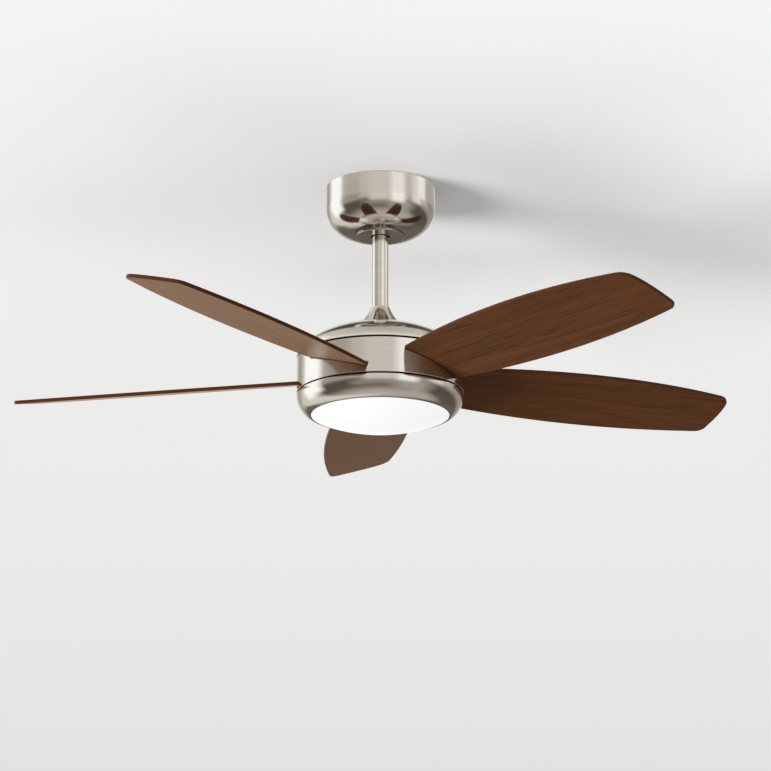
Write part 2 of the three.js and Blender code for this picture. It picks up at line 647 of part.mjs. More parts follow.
/** The laminated core: a hub with teeth that widen into shoes at the air gap. */
function statorCore() {
  const outer = statorRadius;
  const step = (2 * Math.PI) / STATOR_SLOTS;
  const shoeHalf = step / 2 - SLOT_MOUTH / 2 / outer;
  const neck = outer - TOOTH_SHOE;
  const half = TOOTH_WIDTH / 2;
  const shape = new THREE.Shape();
  for (let i = 0; i < STATOR_SLOTS; i += 1) {
    const middle = i * step;
    const turn = (r, offset) => point(Math.cos(middle) * r - Math.sin(middle) * offset,
      Math.sin(middle) * r + Math.cos(middle) * offset);
    const tooth = [turn(statorHub, -half), turn(neck - TOOTH_SHOE_TAPER, -half)];
    for (const part of [-1, -0.33, 0.33, 1]) {
      const angle = middle + part * shoeHalf;
      tooth.push(point(outer * Math.cos(angle), outer * Math.sin(angle)));
    }
    tooth.push(turn(neck - TOOTH_SHOE_TAPER, half), turn(statorHub, half));
    tooth.forEach((p, k) => (i === 0 && k === 0 ? shape.moveTo(p.x, p.y) : shape.lineTo(p.x, p.y)));
  }
  const bore = new THREE.Path();
  bore.absarc(0, 0, SHAFT_RADIUS + SHAFT_SHOULDER + GAP, 0, 2 * Math.PI);
  shape.holes.push(bore);
  return plate(shape, statorZ - STATOR_HEIGHT / 2, statorZ + STATOR_HEIGHT / 2, 12);
}

/** The winding: a bundle above and below the core, joined through every slot. */
function statorWinding() {
  const inner = statorHub + WINDING_INSET.inner;
  const outer = statorRadius - TOOTH_SHOE - WINDING_INSET.outer;
  const coreTop = statorZ + STATOR_HEIGHT / 2 + GAP;
  const coreBottom = statorZ - STATOR_HEIGHT / 2 - GAP;
  const bundle = (from, to) => {
    const crown = [[outer - WINDING_SLOPE.outer, to], [inner + WINDING_SLOPE.inner, to]];
    return turned([[inner, from], [outer, from], ...crown], MOTOR_SIDES);
  };
  let body = bundle(coreTop, coreTop + WINDING_END).add(bundle(coreBottom, coreBottom - WINDING_END));
  const bar = (outer - inner) * SLOT_FILL.depth;
  const middle = outer - 1 - bar / 2;
  for (let i = 0; i < STATOR_SLOTS; i += 1) {
    const angle = ((i + 0.5) * 2 * Math.PI) / STATOR_SLOTS;
    const slotBar = new THREE.BoxGeometry(bar, SLOT_FILL.width, coreTop - coreBottom + 2);
    slotBar.translate(middle, 0, statorZ);
    slotBar.rotateZ(angle);
    body = body.add(solid(slotBar));
  }
  return body;
}

/** The steel can round the magnets, closed at the top by the seat of the upper bearing. */
function rotorCase() {
  const sheet = MOTOR_WALL;
  const top = motorTopZ;
  const lipBottom = upperBearingZ + BEARING_HEIGHT + GAP;
  const bossBottom = upperBearingZ;
  const profile = [
    [motorRadius, carrierTopZ + GAP],
    [motorRadius, top - MOTOR_BEVEL],
    [motorRadius - MOTOR_BEVEL, top],
    [bossRadius, top],
    [bossRadius - BOSS_WALL, lipBottom + sheet],
    [runningHole, lipBottom + sheet],
    [runningHole, lipBottom],
    [bearingFit, lipBottom],
    [bearingFit, bossBottom],
    [bossRadius, bossBottom],
    [bossRadius, top - sheet],
    [motorRadius - MOTOR_BEVEL - 1, top - sheet],
    [motorInner, top - MOTOR_BEVEL - 1],
    [motorInner, carrierTopZ + GAP],
  ];
  return turned(profile, MOTOR_SIDES);
}

/** The cast wheel under the motor: lower bearing seat, ribs, and the rim that carries the hub band. */
function rotorCarrier() {
  const rim = bandInner - GAP;
  const bossTop = lowerBearingZ + BEARING_HEIGHT;
  const lip = lowerBearingZ - GAP;
  const profile = [
    [rim, carrierBottomZ],
    [rim, carrierTopZ],
    [bossRadius, carrierTopZ],
    [bossRadius, bossTop],
    [bearingFit, bossTop],
    [bearingFit, lip],
    [runningHole, lip],
    [runningHole, lip - LIP_SHEET],
    [bearingFit, lip - LIP_SHEET],
    [bearingFit, carrierBottomZ],
  ];
  let body = turned(profile, BODY_SIDES);
  const ribOuter = motorInner - RIB.inset;
  const windowRadius = (bossRadius + ribOuter) / 2;
  for (let i = 0; i < BLADE_COUNT; i += 1) {
    const rib = new THREE.BoxGeometry(ribOuter - bossRadius + 1, RIB.width, RIB.height + 1);
    rib.translate((ribOuter + bossRadius - 1) / 2, 0, carrierTopZ + (RIB.height - 1) / 2);
    rib.rotateZ(bladeAngle(i));
    body = body.add(solid(rib));
    const window = new THREE.CylinderGeometry(WINDOW_RADIUS, WINDOW_RADIUS, CARRIER_SHEET + 2, 10);
    window.rotateX(Math.PI / 2);
    window.translate(windowRadius, 0, (carrierTopZ + carrierBottomZ) / 2);
    window.rotateZ(bladeAngle(i + 0.5));
    body = body.subtract(solid(window));
  }
  return body;
}

const raceInner = (bottom) => ring(shaftFit, shaftFit + BEARING_RACE, bottom, bottom + BEARING_HEIGHT);
const raceOuter = (bottom) =>
  ring(shaftFit + BEARING_RACE + GAP, BEARING_RADIUS, bottom, bottom + BEARING_HEIGHT);

function bladeAngle(index) {
  return degrees(BLADE_PHASE + (360 / BLADE_COUNT) * index);
}

add("motor_shaft", motorShaft(), STEEL);
add("stator_core", statorCore(), STEEL);
add("stator_winding", statorWinding(), COPPER);
add("upper_bearing_inner", raceInner(upperBearingZ), STEEL);
add("lower_bearing_inner", raceInner(lowerBearingZ), STEEL);
add("upper_bearing_outer", raceOuter(upperBearingZ), STEEL);
add("lower_bearing_outer", raceOuter(lowerBearingZ), STEEL);
add("rotor_case", rotorCase(), STEEL);
const magnetBottom = statorZ - MAGNET_HEIGHT / 2;
const magnetTop = magnetBottom + MAGNET_HEIGHT;
add("magnet_ring", ring(magnetInner, motorInner - GAP, magnetBottom, magnetTop, MOTOR_SIDES), MAGNET);
add("rotor_carrier", rotorCarrier(), ALUMINIUM);

// ---- Blades and hub band --------------------------------------------------------------------------------
/** Blade outline, x from the fan's axis outwards, y towards the trailing edge. */
function bladeOutline() {
  const root = bladeRoot;
  const trailingTip = BLADE_TIP - TRAILING.setback;
  const leadingTip = BLADE_TIP - LEADING.setback;
  const third = (end, n) => root + ((end - root) * n) / 3;
  const trailing = new THREE.CubicBezierCurve(
    point(root, TRAILING.root),
    point(third(trailingTip, 1), TRAILING.inner),
    point(third(trailingTip, 2), TRAILING.outer),
    point(trailingTip, TRAILING.tip),
  );
  const leading = new THREE.CubicBezierCurve(
    point(leadingTip, -LEADING.tip),
    point(third(leadingTip, 2), -LEADING.outer),
    point(third(leadingTip, 1), -LEADING.inner),
    point(root, -LEADING.root),
  );
  const crownX = 2 * BLADE_TIP - (trailingTip + leadingTip) / 2;
  const crown = point(crownX, -2 * TIP_CROWN_SHIFT - (TRAILING.tip - LEADING.tip) / 2);
  const tip = new THREE.QuadraticBezierCurve(trailing.v3, crown, leading.v0);
  return cornered([trailing, tip, leading], [TIP_CORNER, TIP_CORNER], [8, 5, 8]);
}

/** A closed shape from curves that meet end to end, with each meeting point and the root rounded. */
function cornered(curves, corners, divisions) {
  const shape = new THREE.Shape();
  curves.forEach((curve, i) => {
    const length = curve.getLength();
    const from = (corners[i - 1] ?? ROOT_CORNER) / length;
    const to = 1 - (corners[i] ?? ROOT_CORNER) / length;
    const meeting = curve.getPoint(0);
    for (let step = 0; step <= divisions[i]; step += 1) {
      const p = curve.getPointAt(from + ((to - from) * step) / divisions[i]);
      if (step > 0) shape.lineTo(p.x, p.y);
      else if (i > 0) shape.quadraticCurveTo(meeting.x, meeting.y, p.x, p.y);
      else shape.moveTo(p.x, p.y);
    }
  });
  const first = curves[0].getPoint(0);
  const last = curves.at(-1).getPoint(1);
  const root = new THREE.LineCurve(last, first);
  const inset = ROOT_CORNER / root.getLength();
  const start = curves[0].getPointAt(ROOT_CORNER / curves[0].getLength());
  shape.quadraticCurveTo(last.x, last.y, root.getPoint(inset).x, root.getPoint(inset).y);
  shape.lineTo(root.getPoint(1 - inset).x, root.getPoint(1 - inset).y);
  shape.quadraticCurveTo(first.x, first.y, start.x, start.y);
  return shape;
}

const screwAcross = WEDGE_WIDTH / 2 - BLADE_SCREW_INSET;
const screwOut = bladeRoot + BLADE_SCREW_INSET;
const screwPlaces = [[screwOut, -screwAcross], [screwOut, screwAcross]];
const screwTip = -BLADE_THICKNESS / 2 - BLADE_SCREW_GRIP;

/** A flat blade with rounded edges, lying level about its own axis. */
function blade() {
  const half = BLADE_THICKNESS / 2;
  const board = new THREE.ExtrudeGeometry(bladeOutline(), {
    depth: BLADE_THICKNESS - 2 * BLADE_EDGE_ROUND,
    bevelThickness: BLADE_EDGE_ROUND,
    bevelSize: BLADE_EDGE_ROUND,
    bevelOffset: -BLADE_EDGE_ROUND,
    bevelSegments: 1,
    curveSegments: 3,
  });
  board.translate(0, 0, BLADE_EDGE_ROUND - half);
  let body = solid(board);
  for (const [x, y] of screwPlaces) {
    body = body.subtract(disc(SCREW_RADIUS + GAP, -half - 1, half + 1, SCREW_SIDES).translate([x, y, 0]));
  }
  return body;
}

/** The cast wedge under a blade, which sets the blade's pitch. x runs outwards from the axis. */
function pitchWedge() {
  const slope = -Math.tan(degrees(BLADE_PITCH));
  const lift = -(BLADE_THICKNESS / 2 + GAP) / Math.cos(degrees(BLADE_PITCH));
  const half = WEDGE_WIDTH / 2;
  const base = carrierTopZ + GAP - bladeZ;
  const shape = new THREE.Shape();
  shape.moveTo(-half, base);
  shape.lineTo(half, base);
  shape.lineTo(half, lift + slope * half);
  shape.lineTo(-half, lift - slope * half);
  shape.closePath();
  const start = bladeRoot - BLADE_ROOT_GAP / 4;
  const end = Math.sqrt((bandInner - WEDGE_INSET) ** 2 - half ** 2);
  const wedge = new THREE.ExtrudeGeometry(shape, { depth: end - start, bevelEnabled: false });
  const axes = new THREE.Matrix4().makeBasis(
    new THREE.Vector3(0, 1, 0),
    new THREE.Vector3(0, 0, 1),
    new THREE.Vector3(1, 0, 0),
  );
  wedge.applyMatrix4(axes);
  wedge.translate(start, 0, 0);
  let body = solid(wedge);
  for (const [x, y] of screwPlaces) {
    const hole = disc(SCREW_RADIUS + GAP, screwTip - 1, 0, SCREW_SIDES).translate([x, y, 0]);
    body = body.subtract(hole.rotate([-BLADE_PITCH, 0, 0]));
  }
  return body;
}

/** The turning band round the motor, with a slanted slot for each blade and a lip that the carrier holds. */
function hubBand() {
  const r = BODY_RADIUS;
  const e = EDGE_BREAK;
  const profile = [
    [r - BAND_LIP, bandBottomZ],
    [r - e, bandBottomZ],
    [r, bandBottomZ + e],
    [r, bandTopZ - e],
    [r - e, bandTopZ],
    [bandInner, bandTopZ],
    [bandInner, bandBottomZ + BAND_WALL],
    [r - BAND_LIP, bandBottomZ + BAND_WALL],
  ];
  let body = turned(profile, BODY_SIDES);
  const slot = bladeSlot();
  for (let i = 0; i < BLADE_COUNT; i += 1) {
    const cutter = slot.clone();
    cutter.rotateX(-degrees(BLADE_PITCH));
    cutter.rotateZ(bladeAngle(i));
    cutter.translate(0, 0, bladeZ);
    body = body.subtract(solid(cutter));
  }
  return body;
}

/** The space that a blade takes as it passes the band, with clearance all round. */
function bladeSlot() {
  const wallX = BODY_RADIUS - SLOT_DEPTH;
  const part = (wallX - bladeRoot) / (BLADE_TIP - bladeRoot);
  const widthAt = (side) => {
    const rest = 1 - part;
    return rest ** 3 * side.root + 3 * rest ** 2 * part * side.inner + 3 * rest * part ** 2 * side.outer;
  };
  const trailing = widthAt(TRAILING) + SLOT_CLEARANCE;
  const leading = widthAt(LEADING) + SLOT_CLEARANCE;
  const length = BODY_RADIUS;
  const cutter = new THREE.BoxGeometry(length, trailing + leading, BLADE_THICKNESS + 2 * SLOT_CLEARANCE);
  cutter.translate(BODY_RADIUS * 0.7 + length / 2, (trailing - leading) / 2, 0);
  return cutter;
}

add("hub_band", hubBand(), NICKEL);
for (let i = 0; i < BLADE_COUNT; i += 1) {
  const spoke = new THREE.Group();
  spoke.rotation.z = bladeAngle(i);
  spoke.position.z = bladeZ;
  fan.add(spoke);
  const pitched = new THREE.Group();
  pitched.rotation.x = -degrees(BLADE_PITCH);
  spoke.add(pitched);
  add(`blade_${i + 1}`, blade(), WALNUT, pitched);
  add(`pitch_wedge_${i + 1}`, pitchWedge(), ALUMINIUM, spoke);
  screwPlaces.forEach(([x, y], k) => {
    const head = BLADE_THICKNESS / 2 + GAP;
    const body = screw(head, head - screwTip, -1).translate([x, y, 0]);
    add(`blade_screw_${i + 1}_${k + 1}`, body, STEEL, pitched);
  });
}

// ---- Light kit: plate, ring, tray, lamp board, driver, diffuser -----------------------------------------
/** The spun ring: rounded outside, with a flange under the light plate and a ledge for the diffuser. */
function lightRing() {
  const wall = BODY_RADIUS - RING_SHEET;
  const flangeTop = lightPlateBottomZ - GAP;
  const flangeBottom = flangeTop - RING_FLANGE_SHEET;
  const outside = shoulder([BODY_RADIUS, ringShoulderZ], [mouthRadius, ringMouthZ], RING_POWER, 5);
  const lip = [mouthRadius + RING_SHEET, ledgeTopZ];
  const inside = shoulder([wall, Math.min(ringShoulderZ, flangeBottom)], lip, RING_POWER, 3).reverse();
  const profile = [
    [BODY_RADIUS - EDGE_BREAK, ringTopZ],
    [BODY_RADIUS, ringTopZ - EDGE_BREAK],
    ...outside,
    [mouthRadius, ledgeBottomZ],
    [ledgeInner, ledgeBottomZ],
    [ledgeInner, ledgeTopZ],
    ...inside,
    [BODY_RADIUS - RING_FLANGE, flangeBottom],
    [BODY_RADIUS - RING_FLANGE, flangeTop],
    [wall, flangeTop],
    [wall, ringTopZ],
  ];
  let body = turned(profile, BODY_SIDES);
  for (let i = 0; i < LUG_COUNT; i += 1) {
    const notch = lugSector(i, LUG_TURN, LUG_ANGLE + NOTCH_SPARE, mouthRadius, ledgeBottomZ, ledgeTopZ);
    body = body.subtract(notch);
  }
  return body;
}

/** A sector of a thin ring, centred on a lug's place plus a turn. */
function lugSector(index, turn, angle, outer, bottom, top) {
  const middle = degrees((360 / LUG_COUNT) * index + turn);
  const half = degrees(angle / 2);
  const shape = new THREE.Shape();
  shape.absarc(0, 0, outer, middle - half, middle + half, false);
  shape.absarc(0, 0, skirtOuter - DIFFUSER_SHEET / 4, middle + half, middle - half, true);
  shape.closePath();
  return plate(shape, bottom, top, 4);
}

/** The opal dish, with a skirt inside the ring and lugs that turn onto its ledge. */
function diffuser() {
  const edgeTop = ledgeBottomZ - GAP;
  const bottom = ringMouthZ - DIFFUSER_DEPTH;
  const skirtTop = ringMouthZ + DIFFUSER_SKIRT;
  const lugZ = ledgeTopZ + GAP;
  const dish = (radius, edgeZ, apexZ, steps) => {
    const depth = edgeZ - apexZ;
    const sphere = (radius ** 2 + depth ** 2) / (2 * depth);
    const points = [];
    for (let i = 0; i <= steps; i += 1) {
      const r = (radius * i) / steps;
      points.push([r, apexZ + sphere - Math.sqrt(sphere ** 2 - r ** 2)]);
    }
    return points;
  };
  const inside = dish(skirtInner, ringMouthZ + 0.4, bottom + DIFFUSER_SHEET, 3).reverse();
  const profile = [
    ...dish(diffuserRadius, ringMouthZ, bottom, 5),
    [diffuserRadius, edgeTop],
    [skirtOuter, edgeTop],
    [skirtOuter, skirtTop],
    [skirtInner, skirtTop],
    ...inside,
  ];
  let body = turned(profile, BODY_SIDES);
  for (let i = 0; i < LUG_COUNT; i += 1) {
    const lug = lugSector(i, 0, LUG_ANGLE, diffuserRadius - LUG_INSET, lugZ, lugZ + LUG_HEIGHT);
    body = body.add(lug);
  }
  return body;
}

function lightPlate() {
  const outer = BODY_RADIUS - RING_SHEET - GAP;
  return ring(shaftFit, outer, lightPlateBottomZ, lightPlateTopZ, BODY_SIDES);
}

/** A shallow cup under the light plate that holds the driver and backs the lamp board. */
function ledTray() {
  const top = lightPlateBottomZ - GAP;
  const inner = trayRadius - TRAY_SHEET;
  const flange = trayRadius + TRAY_FLANGE;
  const profile = [
    [0, trayFloorZ],
    [trayRadius, trayFloorZ],
    [trayRadius, top - TRAY_SHEET],
    [flange, top - TRAY_SHEET],
    [flange, top],
    [inner, top],
    [inner, trayFloorZ + TRAY_SHEET],
    [0, trayFloorZ + TRAY_SHEET],
  ];
  return turned(profile, MOTOR_SIDES);
}

/** The lamp board: a metal-core disc with rings of square lamps on its underside. */
function ledBoard() {
  const bottom = ledTopZ - LED_SHEET;
  let body = disc(trayRadius - LED_INSET, bottom, ledTopZ, MOTOR_SIDES);
  for (const { radius, count } of LED_RINGS) {
    for (let i = 0; i < count; i += 1) {
      const lamp = new THREE.BoxGeometry(LED_SIZE, LED_SIZE, LED_HEIGHT + LED_SINK);
      lamp.translate(radius, 0, bottom + (LED_SINK - LED_HEIGHT) / 2);
      lamp.rotateZ((2 * Math.PI * i) / count);
      body = body.add(solid(lamp));
    }
  }
  return body;
}

/** The lamps' driver, a potted box that stands on the tray's floor across from the nut. */
function ledDriver() {
  const shape = roundedRectangle(DRIVER_WIDTH, DRIVER_LENGTH, DRIVER_CORNER);
  return plate(shape, driverZ, driverZ + DRIVER_HEIGHT, 3).translate([driverX + DRIVER_WIDTH / 2, 0, 0]);
}

function shaftNut() {
  const nut = new THREE.CylinderGeometry(NUT_RADIUS, NUT_RADIUS, NUT_HEIGHT, 6);
  nut.rotateX(Math.PI / 2);
  nut.translate(0, 0, nutBottomZ + NUT_HEIGHT / 2);
  return solid(nut).subtract(disc(shaftFit, nutBottomZ - 1, nutBottomZ + NUT_HEIGHT + 1, 16));
}

/** The lead bundle: past the pins in the rod, through the hollow shaft, then round a bend to the driver. */
function motorLead() {
  const besidePins = pinHole + LEAD_RADIUS;
  const inShaft = SHAFT_BORE - GAP - LEAD_RADIUS;
  const bend = LEAD_BEND;
  const level = driverZ + LEAD_RADIUS;
  const overlap = 0.4;
  const section = new THREE.Shape();
  section.absarc(0, 0, LEAD_RADIUS, 0, 2 * Math.PI);
  const along = (curve, steps) =>
    solid(new THREE.ExtrudeGeometry(section, { steps, extrudePath: curve, curveSegments: 4 }));
  const at = (y, z) => new THREE.Vector3(0, y, z);
  const swerveTop = yokePinZ - pinHole;
  const swerveMiddle = (swerveTop + shaftTopZ) / 2;
  const swerve = new THREE.CubicBezierCurve3(
    at(besidePins, swerveTop),
    at(besidePins, swerveMiddle),
    at(inShaft, swerveMiddle),
    at(inShaft, shaftTopZ),
  );
  const turnEnd = new THREE.Vector3(bend, inShaft, level);
  const elbow = new THREE.QuadraticBezierCurve3(at(inShaft, level + bend), at(inShaft, level), turnEnd);
  const end = new THREE.Vector3(driverX - GAP, inShaft, level);
  const lastStart = turnEnd.clone().setX(bend - overlap);
  const straight = (from, to) => along(new THREE.LineCurve3(from, to), 1);
  return straight(at(besidePins, rodTopZ + LEAD_PROUD), at(besidePins, swerveTop - overlap))
    .add(along(swerve, 5))
    .add(straight(at(inShaft, shaftTopZ + overlap), at(inShaft, level + bend - overlap)))
    .add(along(elbow, 6))
    .add(straight(lastStart, end));
}

add("light_plate", lightPlate(), STEEL);
add("light_ring", lightRing(), NICKEL);
add("led_tray", ledTray(), ALUMINIUM);
add("led_board", ledBoard(), WHITE_PLASTIC);
add("led_driver", ledDriver(), WHITE_PLASTIC);
add("shaft_nut", shaftNut(), STEEL);
add("motor_lead", motorLead(), DARK_PLASTIC);
add("diffuser", diffuser(), OPAL);

export default fan;
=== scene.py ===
"""Ceiling fan with a round light: spun nickel covers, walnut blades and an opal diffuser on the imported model.

Metres, +Z up. z = 0 is the ceiling and the origin lies on the fan's axis.
"""
import math

import bmesh
import bpy
from mathutils import Matrix, Vector
from mathutils.geometry import interpolate_bezier


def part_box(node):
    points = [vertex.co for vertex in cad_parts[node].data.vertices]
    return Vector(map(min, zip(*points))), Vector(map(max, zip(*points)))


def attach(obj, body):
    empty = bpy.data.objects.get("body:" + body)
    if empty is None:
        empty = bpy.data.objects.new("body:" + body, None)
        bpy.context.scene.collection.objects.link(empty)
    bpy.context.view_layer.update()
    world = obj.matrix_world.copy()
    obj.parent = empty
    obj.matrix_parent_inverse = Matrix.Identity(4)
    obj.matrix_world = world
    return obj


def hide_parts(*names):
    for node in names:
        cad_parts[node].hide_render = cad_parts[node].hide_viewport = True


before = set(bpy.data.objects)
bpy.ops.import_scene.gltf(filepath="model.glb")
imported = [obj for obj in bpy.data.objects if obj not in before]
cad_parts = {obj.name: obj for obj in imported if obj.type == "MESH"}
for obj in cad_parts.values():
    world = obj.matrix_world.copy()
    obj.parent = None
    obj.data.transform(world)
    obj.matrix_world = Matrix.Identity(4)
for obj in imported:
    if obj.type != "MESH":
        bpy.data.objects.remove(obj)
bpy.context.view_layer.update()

scene = bpy.context.scene

# ---- Driving dimensions ---------------------------------------------------------------------------------
LARGE_STEPS = 160  # faces round the large covers
SMALL_STEPS = 96  # and round the rod and its bell
CURVE_STEPS = 24  # along one rounded shoulder
LONG_CURVE_STEPS = 36  # along the dome's and the ring's
SHARP_ANGLE = math.radians(32)  # an edge that bends more than this gets a fine round
SPUN_EDGE = 0.0003
GAP = 0.0003  # between pieces that seat on each other

CANOPY_WALL = 0.0305  # the straight wall, before it rounds in
CANOPY_FLAT_RADIUS = 0.0353
CANOPY_WELL_RADIUS = 0.034
CANOPY_WELL_DEPTH = 0.003
CANOPY_OPENING_RADIUS = 0.020
CANOPY_SCREW_OUT = 0.0235
COVER_HOLE_RADIUS = 0.0139
COVER_BEAD_WIDTH = 0.0022
COVER_BEAD = 0.0002
COVER_GROOVE = 0.0007  # the dark groove between the cover's rim and the canopy
SHEET = 0.0012  # canopy, its cover, the bell and the dome

ROD_WALL = 0.0018
PIN_HOLE_RADIUS = 0.0028
BELL_TOP_RADIUS = 0.0134
BELL_BEND = {"widening": 0.0042, "level": 0.59}  # draws the flank in; the level is a share of the height
DOME_POWER = 1.8  # 2 is an ellipse, and less is straighter
DOME_HOLE_RADIUS = 0.0165
DOME_APEX_DROP = 0.002  # from the rod's lower end to where the dome's curve would close

BAND_WALL = 0.002
BAND_LIP = 0.009
BAND_EDGE = 0.0009
SEAM_EASE = 0.00025  # how far the covers beside a running gap draw back from it
RING_WALL = 0.0012  # the straight wall, before it rounds in
RING_POWER = 1.65
RING_SHEET = 0.0015
RING_EDGE = 0.0008
RING_INSET = 0.0192  # from the ring's side in to its mouth
RING_LEDGE = 0.003
RING_LEDGE_SHEET = 0.002
RING_LEDGE_SIDES = 32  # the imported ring's; the diffuser's skirt stays inside their flats
RING_LIP = 0.0037
RING_FLANGE = 0.015
DIFFUSER_SHEET = 0.002
DIFFUSER_EDGE = 0.0005
DIFFUSER_REVEAL = 0.0002
DIFFUSER_INNER_RISE = 0.0004  # of the dish's inner face above the mouth
DIFFUSER_SKIRT = 0.012
DIFFUSER_DARK_RIM = 0.0006  # the edge that the lamp doesn't reach
DIFFUSER_RIM_FADE = 0.0002  # to each side of where that edge begins
LUG_COUNT = 3
LUG_ANGLE = math.radians(10)
LUG_TURN = math.radians(20)  # from locked to free
LUG_HEIGHT = 0.0025
LUG_INSET = 0.0003  # inside the dish's edge
NOTCH_SPARE = math.radians(3)  # how much wider the ring's notches are

BLADE_COUNT = 5
BLADE_PHASE = math.radians(22)
BLADE_PITCH = math.radians(15.3)
BLADE_THICKNESS = 0.005
BLADE_EDGE = 0.0013
BLADE_DROP = 0.0263  # of the blades' middle below the band's top
BLADE_ROOT = 0.086
BLADE_TIP = 0.5331
TRAILING = {"root": 0.046, "inner": 0.0706, "outer": 0.0719, "tip": 0.0456, "setback": 0.0026}
LEADING = {"root": 0.044, "inner": 0.0726, "outer": 0.0789, "tip": 0.0492, "setback": 0.0078}
TIP_CROWN_SHIFT = 0.0153
TIP_CORNER = 0.012
ROOT_CORNER = 0.008
SLOT_CLEARANCE = 0.0009
SLOT_DEPTH = 0.010  # how far in from the band's side a slot has to pass its blade
SLOT_CUTTER_OUT = 1.2  # where the middle of its cutting block lies, as a share of the body's radius
SCREW_HOLE_RADIUS = 0.0025
BLADE_SCREW = (BLADE_ROOT + 0.012, 0.020)  # out from the axis, and to each side of the blade's middle
GRAIN_SHIFT = Vector((3.7, 1.3, 0))  # from board to board, so that no two show the same grain

# ---- Levels and radii from the frame --------------------------------------------------------------------
canopy_low, canopy_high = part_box("canopy")
cover_low, cover_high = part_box("canopy_cover")
rod_low, rod_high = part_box("downrod")
bell_low, bell_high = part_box("coupling_cover")
dome_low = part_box("top_cover")[0]
band_low, band_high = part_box("hub_band")
ring_low, ring_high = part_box("light_ring")
diffuser_low, diffuser_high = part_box("diffuser")

body_radius = band_high.x
dome_apex = rod_low.z - DOME_APEX_DROP
mouth_radius = body_radius - RING_INSET
ledge_bottom = ring_low.z + RING_LIP
ledge_top = ledge_bottom + RING_LEDGE_SHEET


# ---- Outlines -------------------------------------------------------------------------------------------
def shoulder(wall, crown, power, steps=CURVE_STEPS, stop_radius=None):
    """Points of a rounded shoulder from an upright wall to a level crown; power 2 is an ellipse."""
    (r0, z0), (r1, z1) = wall, crown
    last = math.pi / 2
    if stop_radius is not None:
        last = math.acos(((stop_radius - r1) / (r0 - r1)) ** (power / 2))
    points = []
    for i in range(steps + 1):
        angle = last * i / steps
        across = max(math.cos(angle), 0) ** (2 / power)
        along = math.sin(angle) ** (2 / power)
        points.append((r1 + (r0 - r1) * across, z0 + (z1 - z0) * along))
    return points


def bend(start, control, end, steps=CURVE_STEPS):
    """Points of a curve from start to end that leans towards its control point; each is a tuple."""
    points = []
    for i in range(steps + 1):
        t = i / steps
        a, b, c = (1 - t) ** 2, 2 * t * (1 - t), t ** 2
        points.append(tuple(a * s + b * k + c * e for s, k, e in zip(start, control, end)))
    return points


def shallow_bowl(radius, edge, apex, steps=30):
    """Points of a spherical bowl, from its middle out to its edge."""
    depth = edge - apex
    sphere = (radius ** 2 + depth ** 2) / (2 * depth)
    radii = [radius * i / steps for i in range(steps + 1)]
    return [(r, apex + sphere - math.sqrt(sphere ** 2 - r ** 2)) for r in radii]


# ---- Making pieces --------------------------------------------------------------------------------------
def spun(outline, steps=LARGE_STEPS, edge=SPUN_EDGE):
    """A closed outline of (radius, height) points turned once round the axis, its sharp edges rounded."""
    bm = bmesh.new()
    corners = [bm.verts.new((radius, 0, height)) for radius, height in outline]
    on_axis = outline[0][0] == 0 and outline[-1][0] == 0
    ends = corners[1:] if on_axis else corners[1:] + corners[:1]
    for a, b in zip(corners, ends):
        bm.edges.new((a, b))
    geom = bm.verts[:] + bm.edges[:]
    bmesh.ops.spin(
        bm, geom=geom, cent=(0, 0, 0), axis=(0, 0, 1), angle=math.tau, steps=steps, use_merge=True
    )
    bmesh.ops.remove_doubles(bm, verts=bm.verts[:], dist=1e-6)
    bmesh.ops.recalc_face_normals(bm, faces=bm.faces[:])
    round_edges(bm, edge)
    return bm


def round_edges(bm, width, segments=2):
    """Rounds every edge that bends more than SHARP_ANGLE."""
    sharp = [e for e in bm.edges if len(e.link_faces) == 2 and e.calc_face_angle() > SHARP_ANGLE]
    bmesh.ops.bevel(
        bm,
        geom=sharp,
        offset=width,
        segments=segments,
        profile=0.5,
        affect="EDGES",
        material=-1,
        clamp_overlap=True,
    )


def write_smooth(bm, mesh):
    for face in bm.faces:
        face.smooth = True
    bm.to_mesh(mesh)
    bm.free()


def new_object(name, bm):
    mesh = bpy.data.meshes.new(name)
    write_smooth(bm, mesh)
    made = bpy.data.objects.new(name, mesh)
    scene.collection.objects.link(made)
    return made


def carve(made, cutter, operation="DIFFERENCE"):
    """Cuts the cutter out of a piece, or joins it on, and removes the cutter."""
    modifier = made.modifiers.new("carve", "BOOLEAN")
    modifier.operation = operation
    modifier.solver = "EXACT"
    modifier.object = cutter
    shaped = bpy.data.meshes.new_from_object(made.evaluated_get(bpy.context.evaluated_depsgraph_get()))
    made.modifiers.clear()
    made.data = shaped
    bpy.data.objects.remove(cutter)


def ease_edges(made, width):
    """Rounds the sharp edges that a cut has left on a piece."""
    bm = bmesh.new()
    bm.from_mesh(made.data)
    round_edges(bm, width)
    write_smooth(bm, made.data)


def round_cutters(radius, length, places):
    """Round bars for cutting holes, one along each place's own Z."""
    bm = bmesh.new()
    for middle in places:
        bmesh.ops.create_cone(
            bm, cap_ends=True, segments=24, radius1=radius, radius2=radius, depth=length, matrix=middle
        )
    return new_object("hole cutters", bm)


def lug_blocks(inner, outer, bottom, top, turn, width, steps=8):
    """Blocks bent round the axis, one at each lug's place turned on from it."""
    bm = bmesh.new()
    for i in range(LUG_COUNT):
        start = i * math.tau / LUG_COUNT + turn - width / 2
        corners = [
            bm.verts.new((radius * math.cos(start), radius * math.sin(start), height))
            for radius, height in ((inner, bottom), (outer, bottom), (outer, top), (inner, top))
        ]
        section = bm.faces.new(corners)
        geom = [section, *section.edges, *corners]
        bmesh.ops.spin(bm, geom=geom, cent=(0, 0, 0), axis=(0, 0, 1), angle=width, steps=steps)
    bmesh.ops.recalc_face_normals(bm, faces=bm.faces[:])
    return new_object("lug blocks", bm)


def give_finish(piece, material):
    piece.data.materials.clear()
    piece.data.materials.append(material)


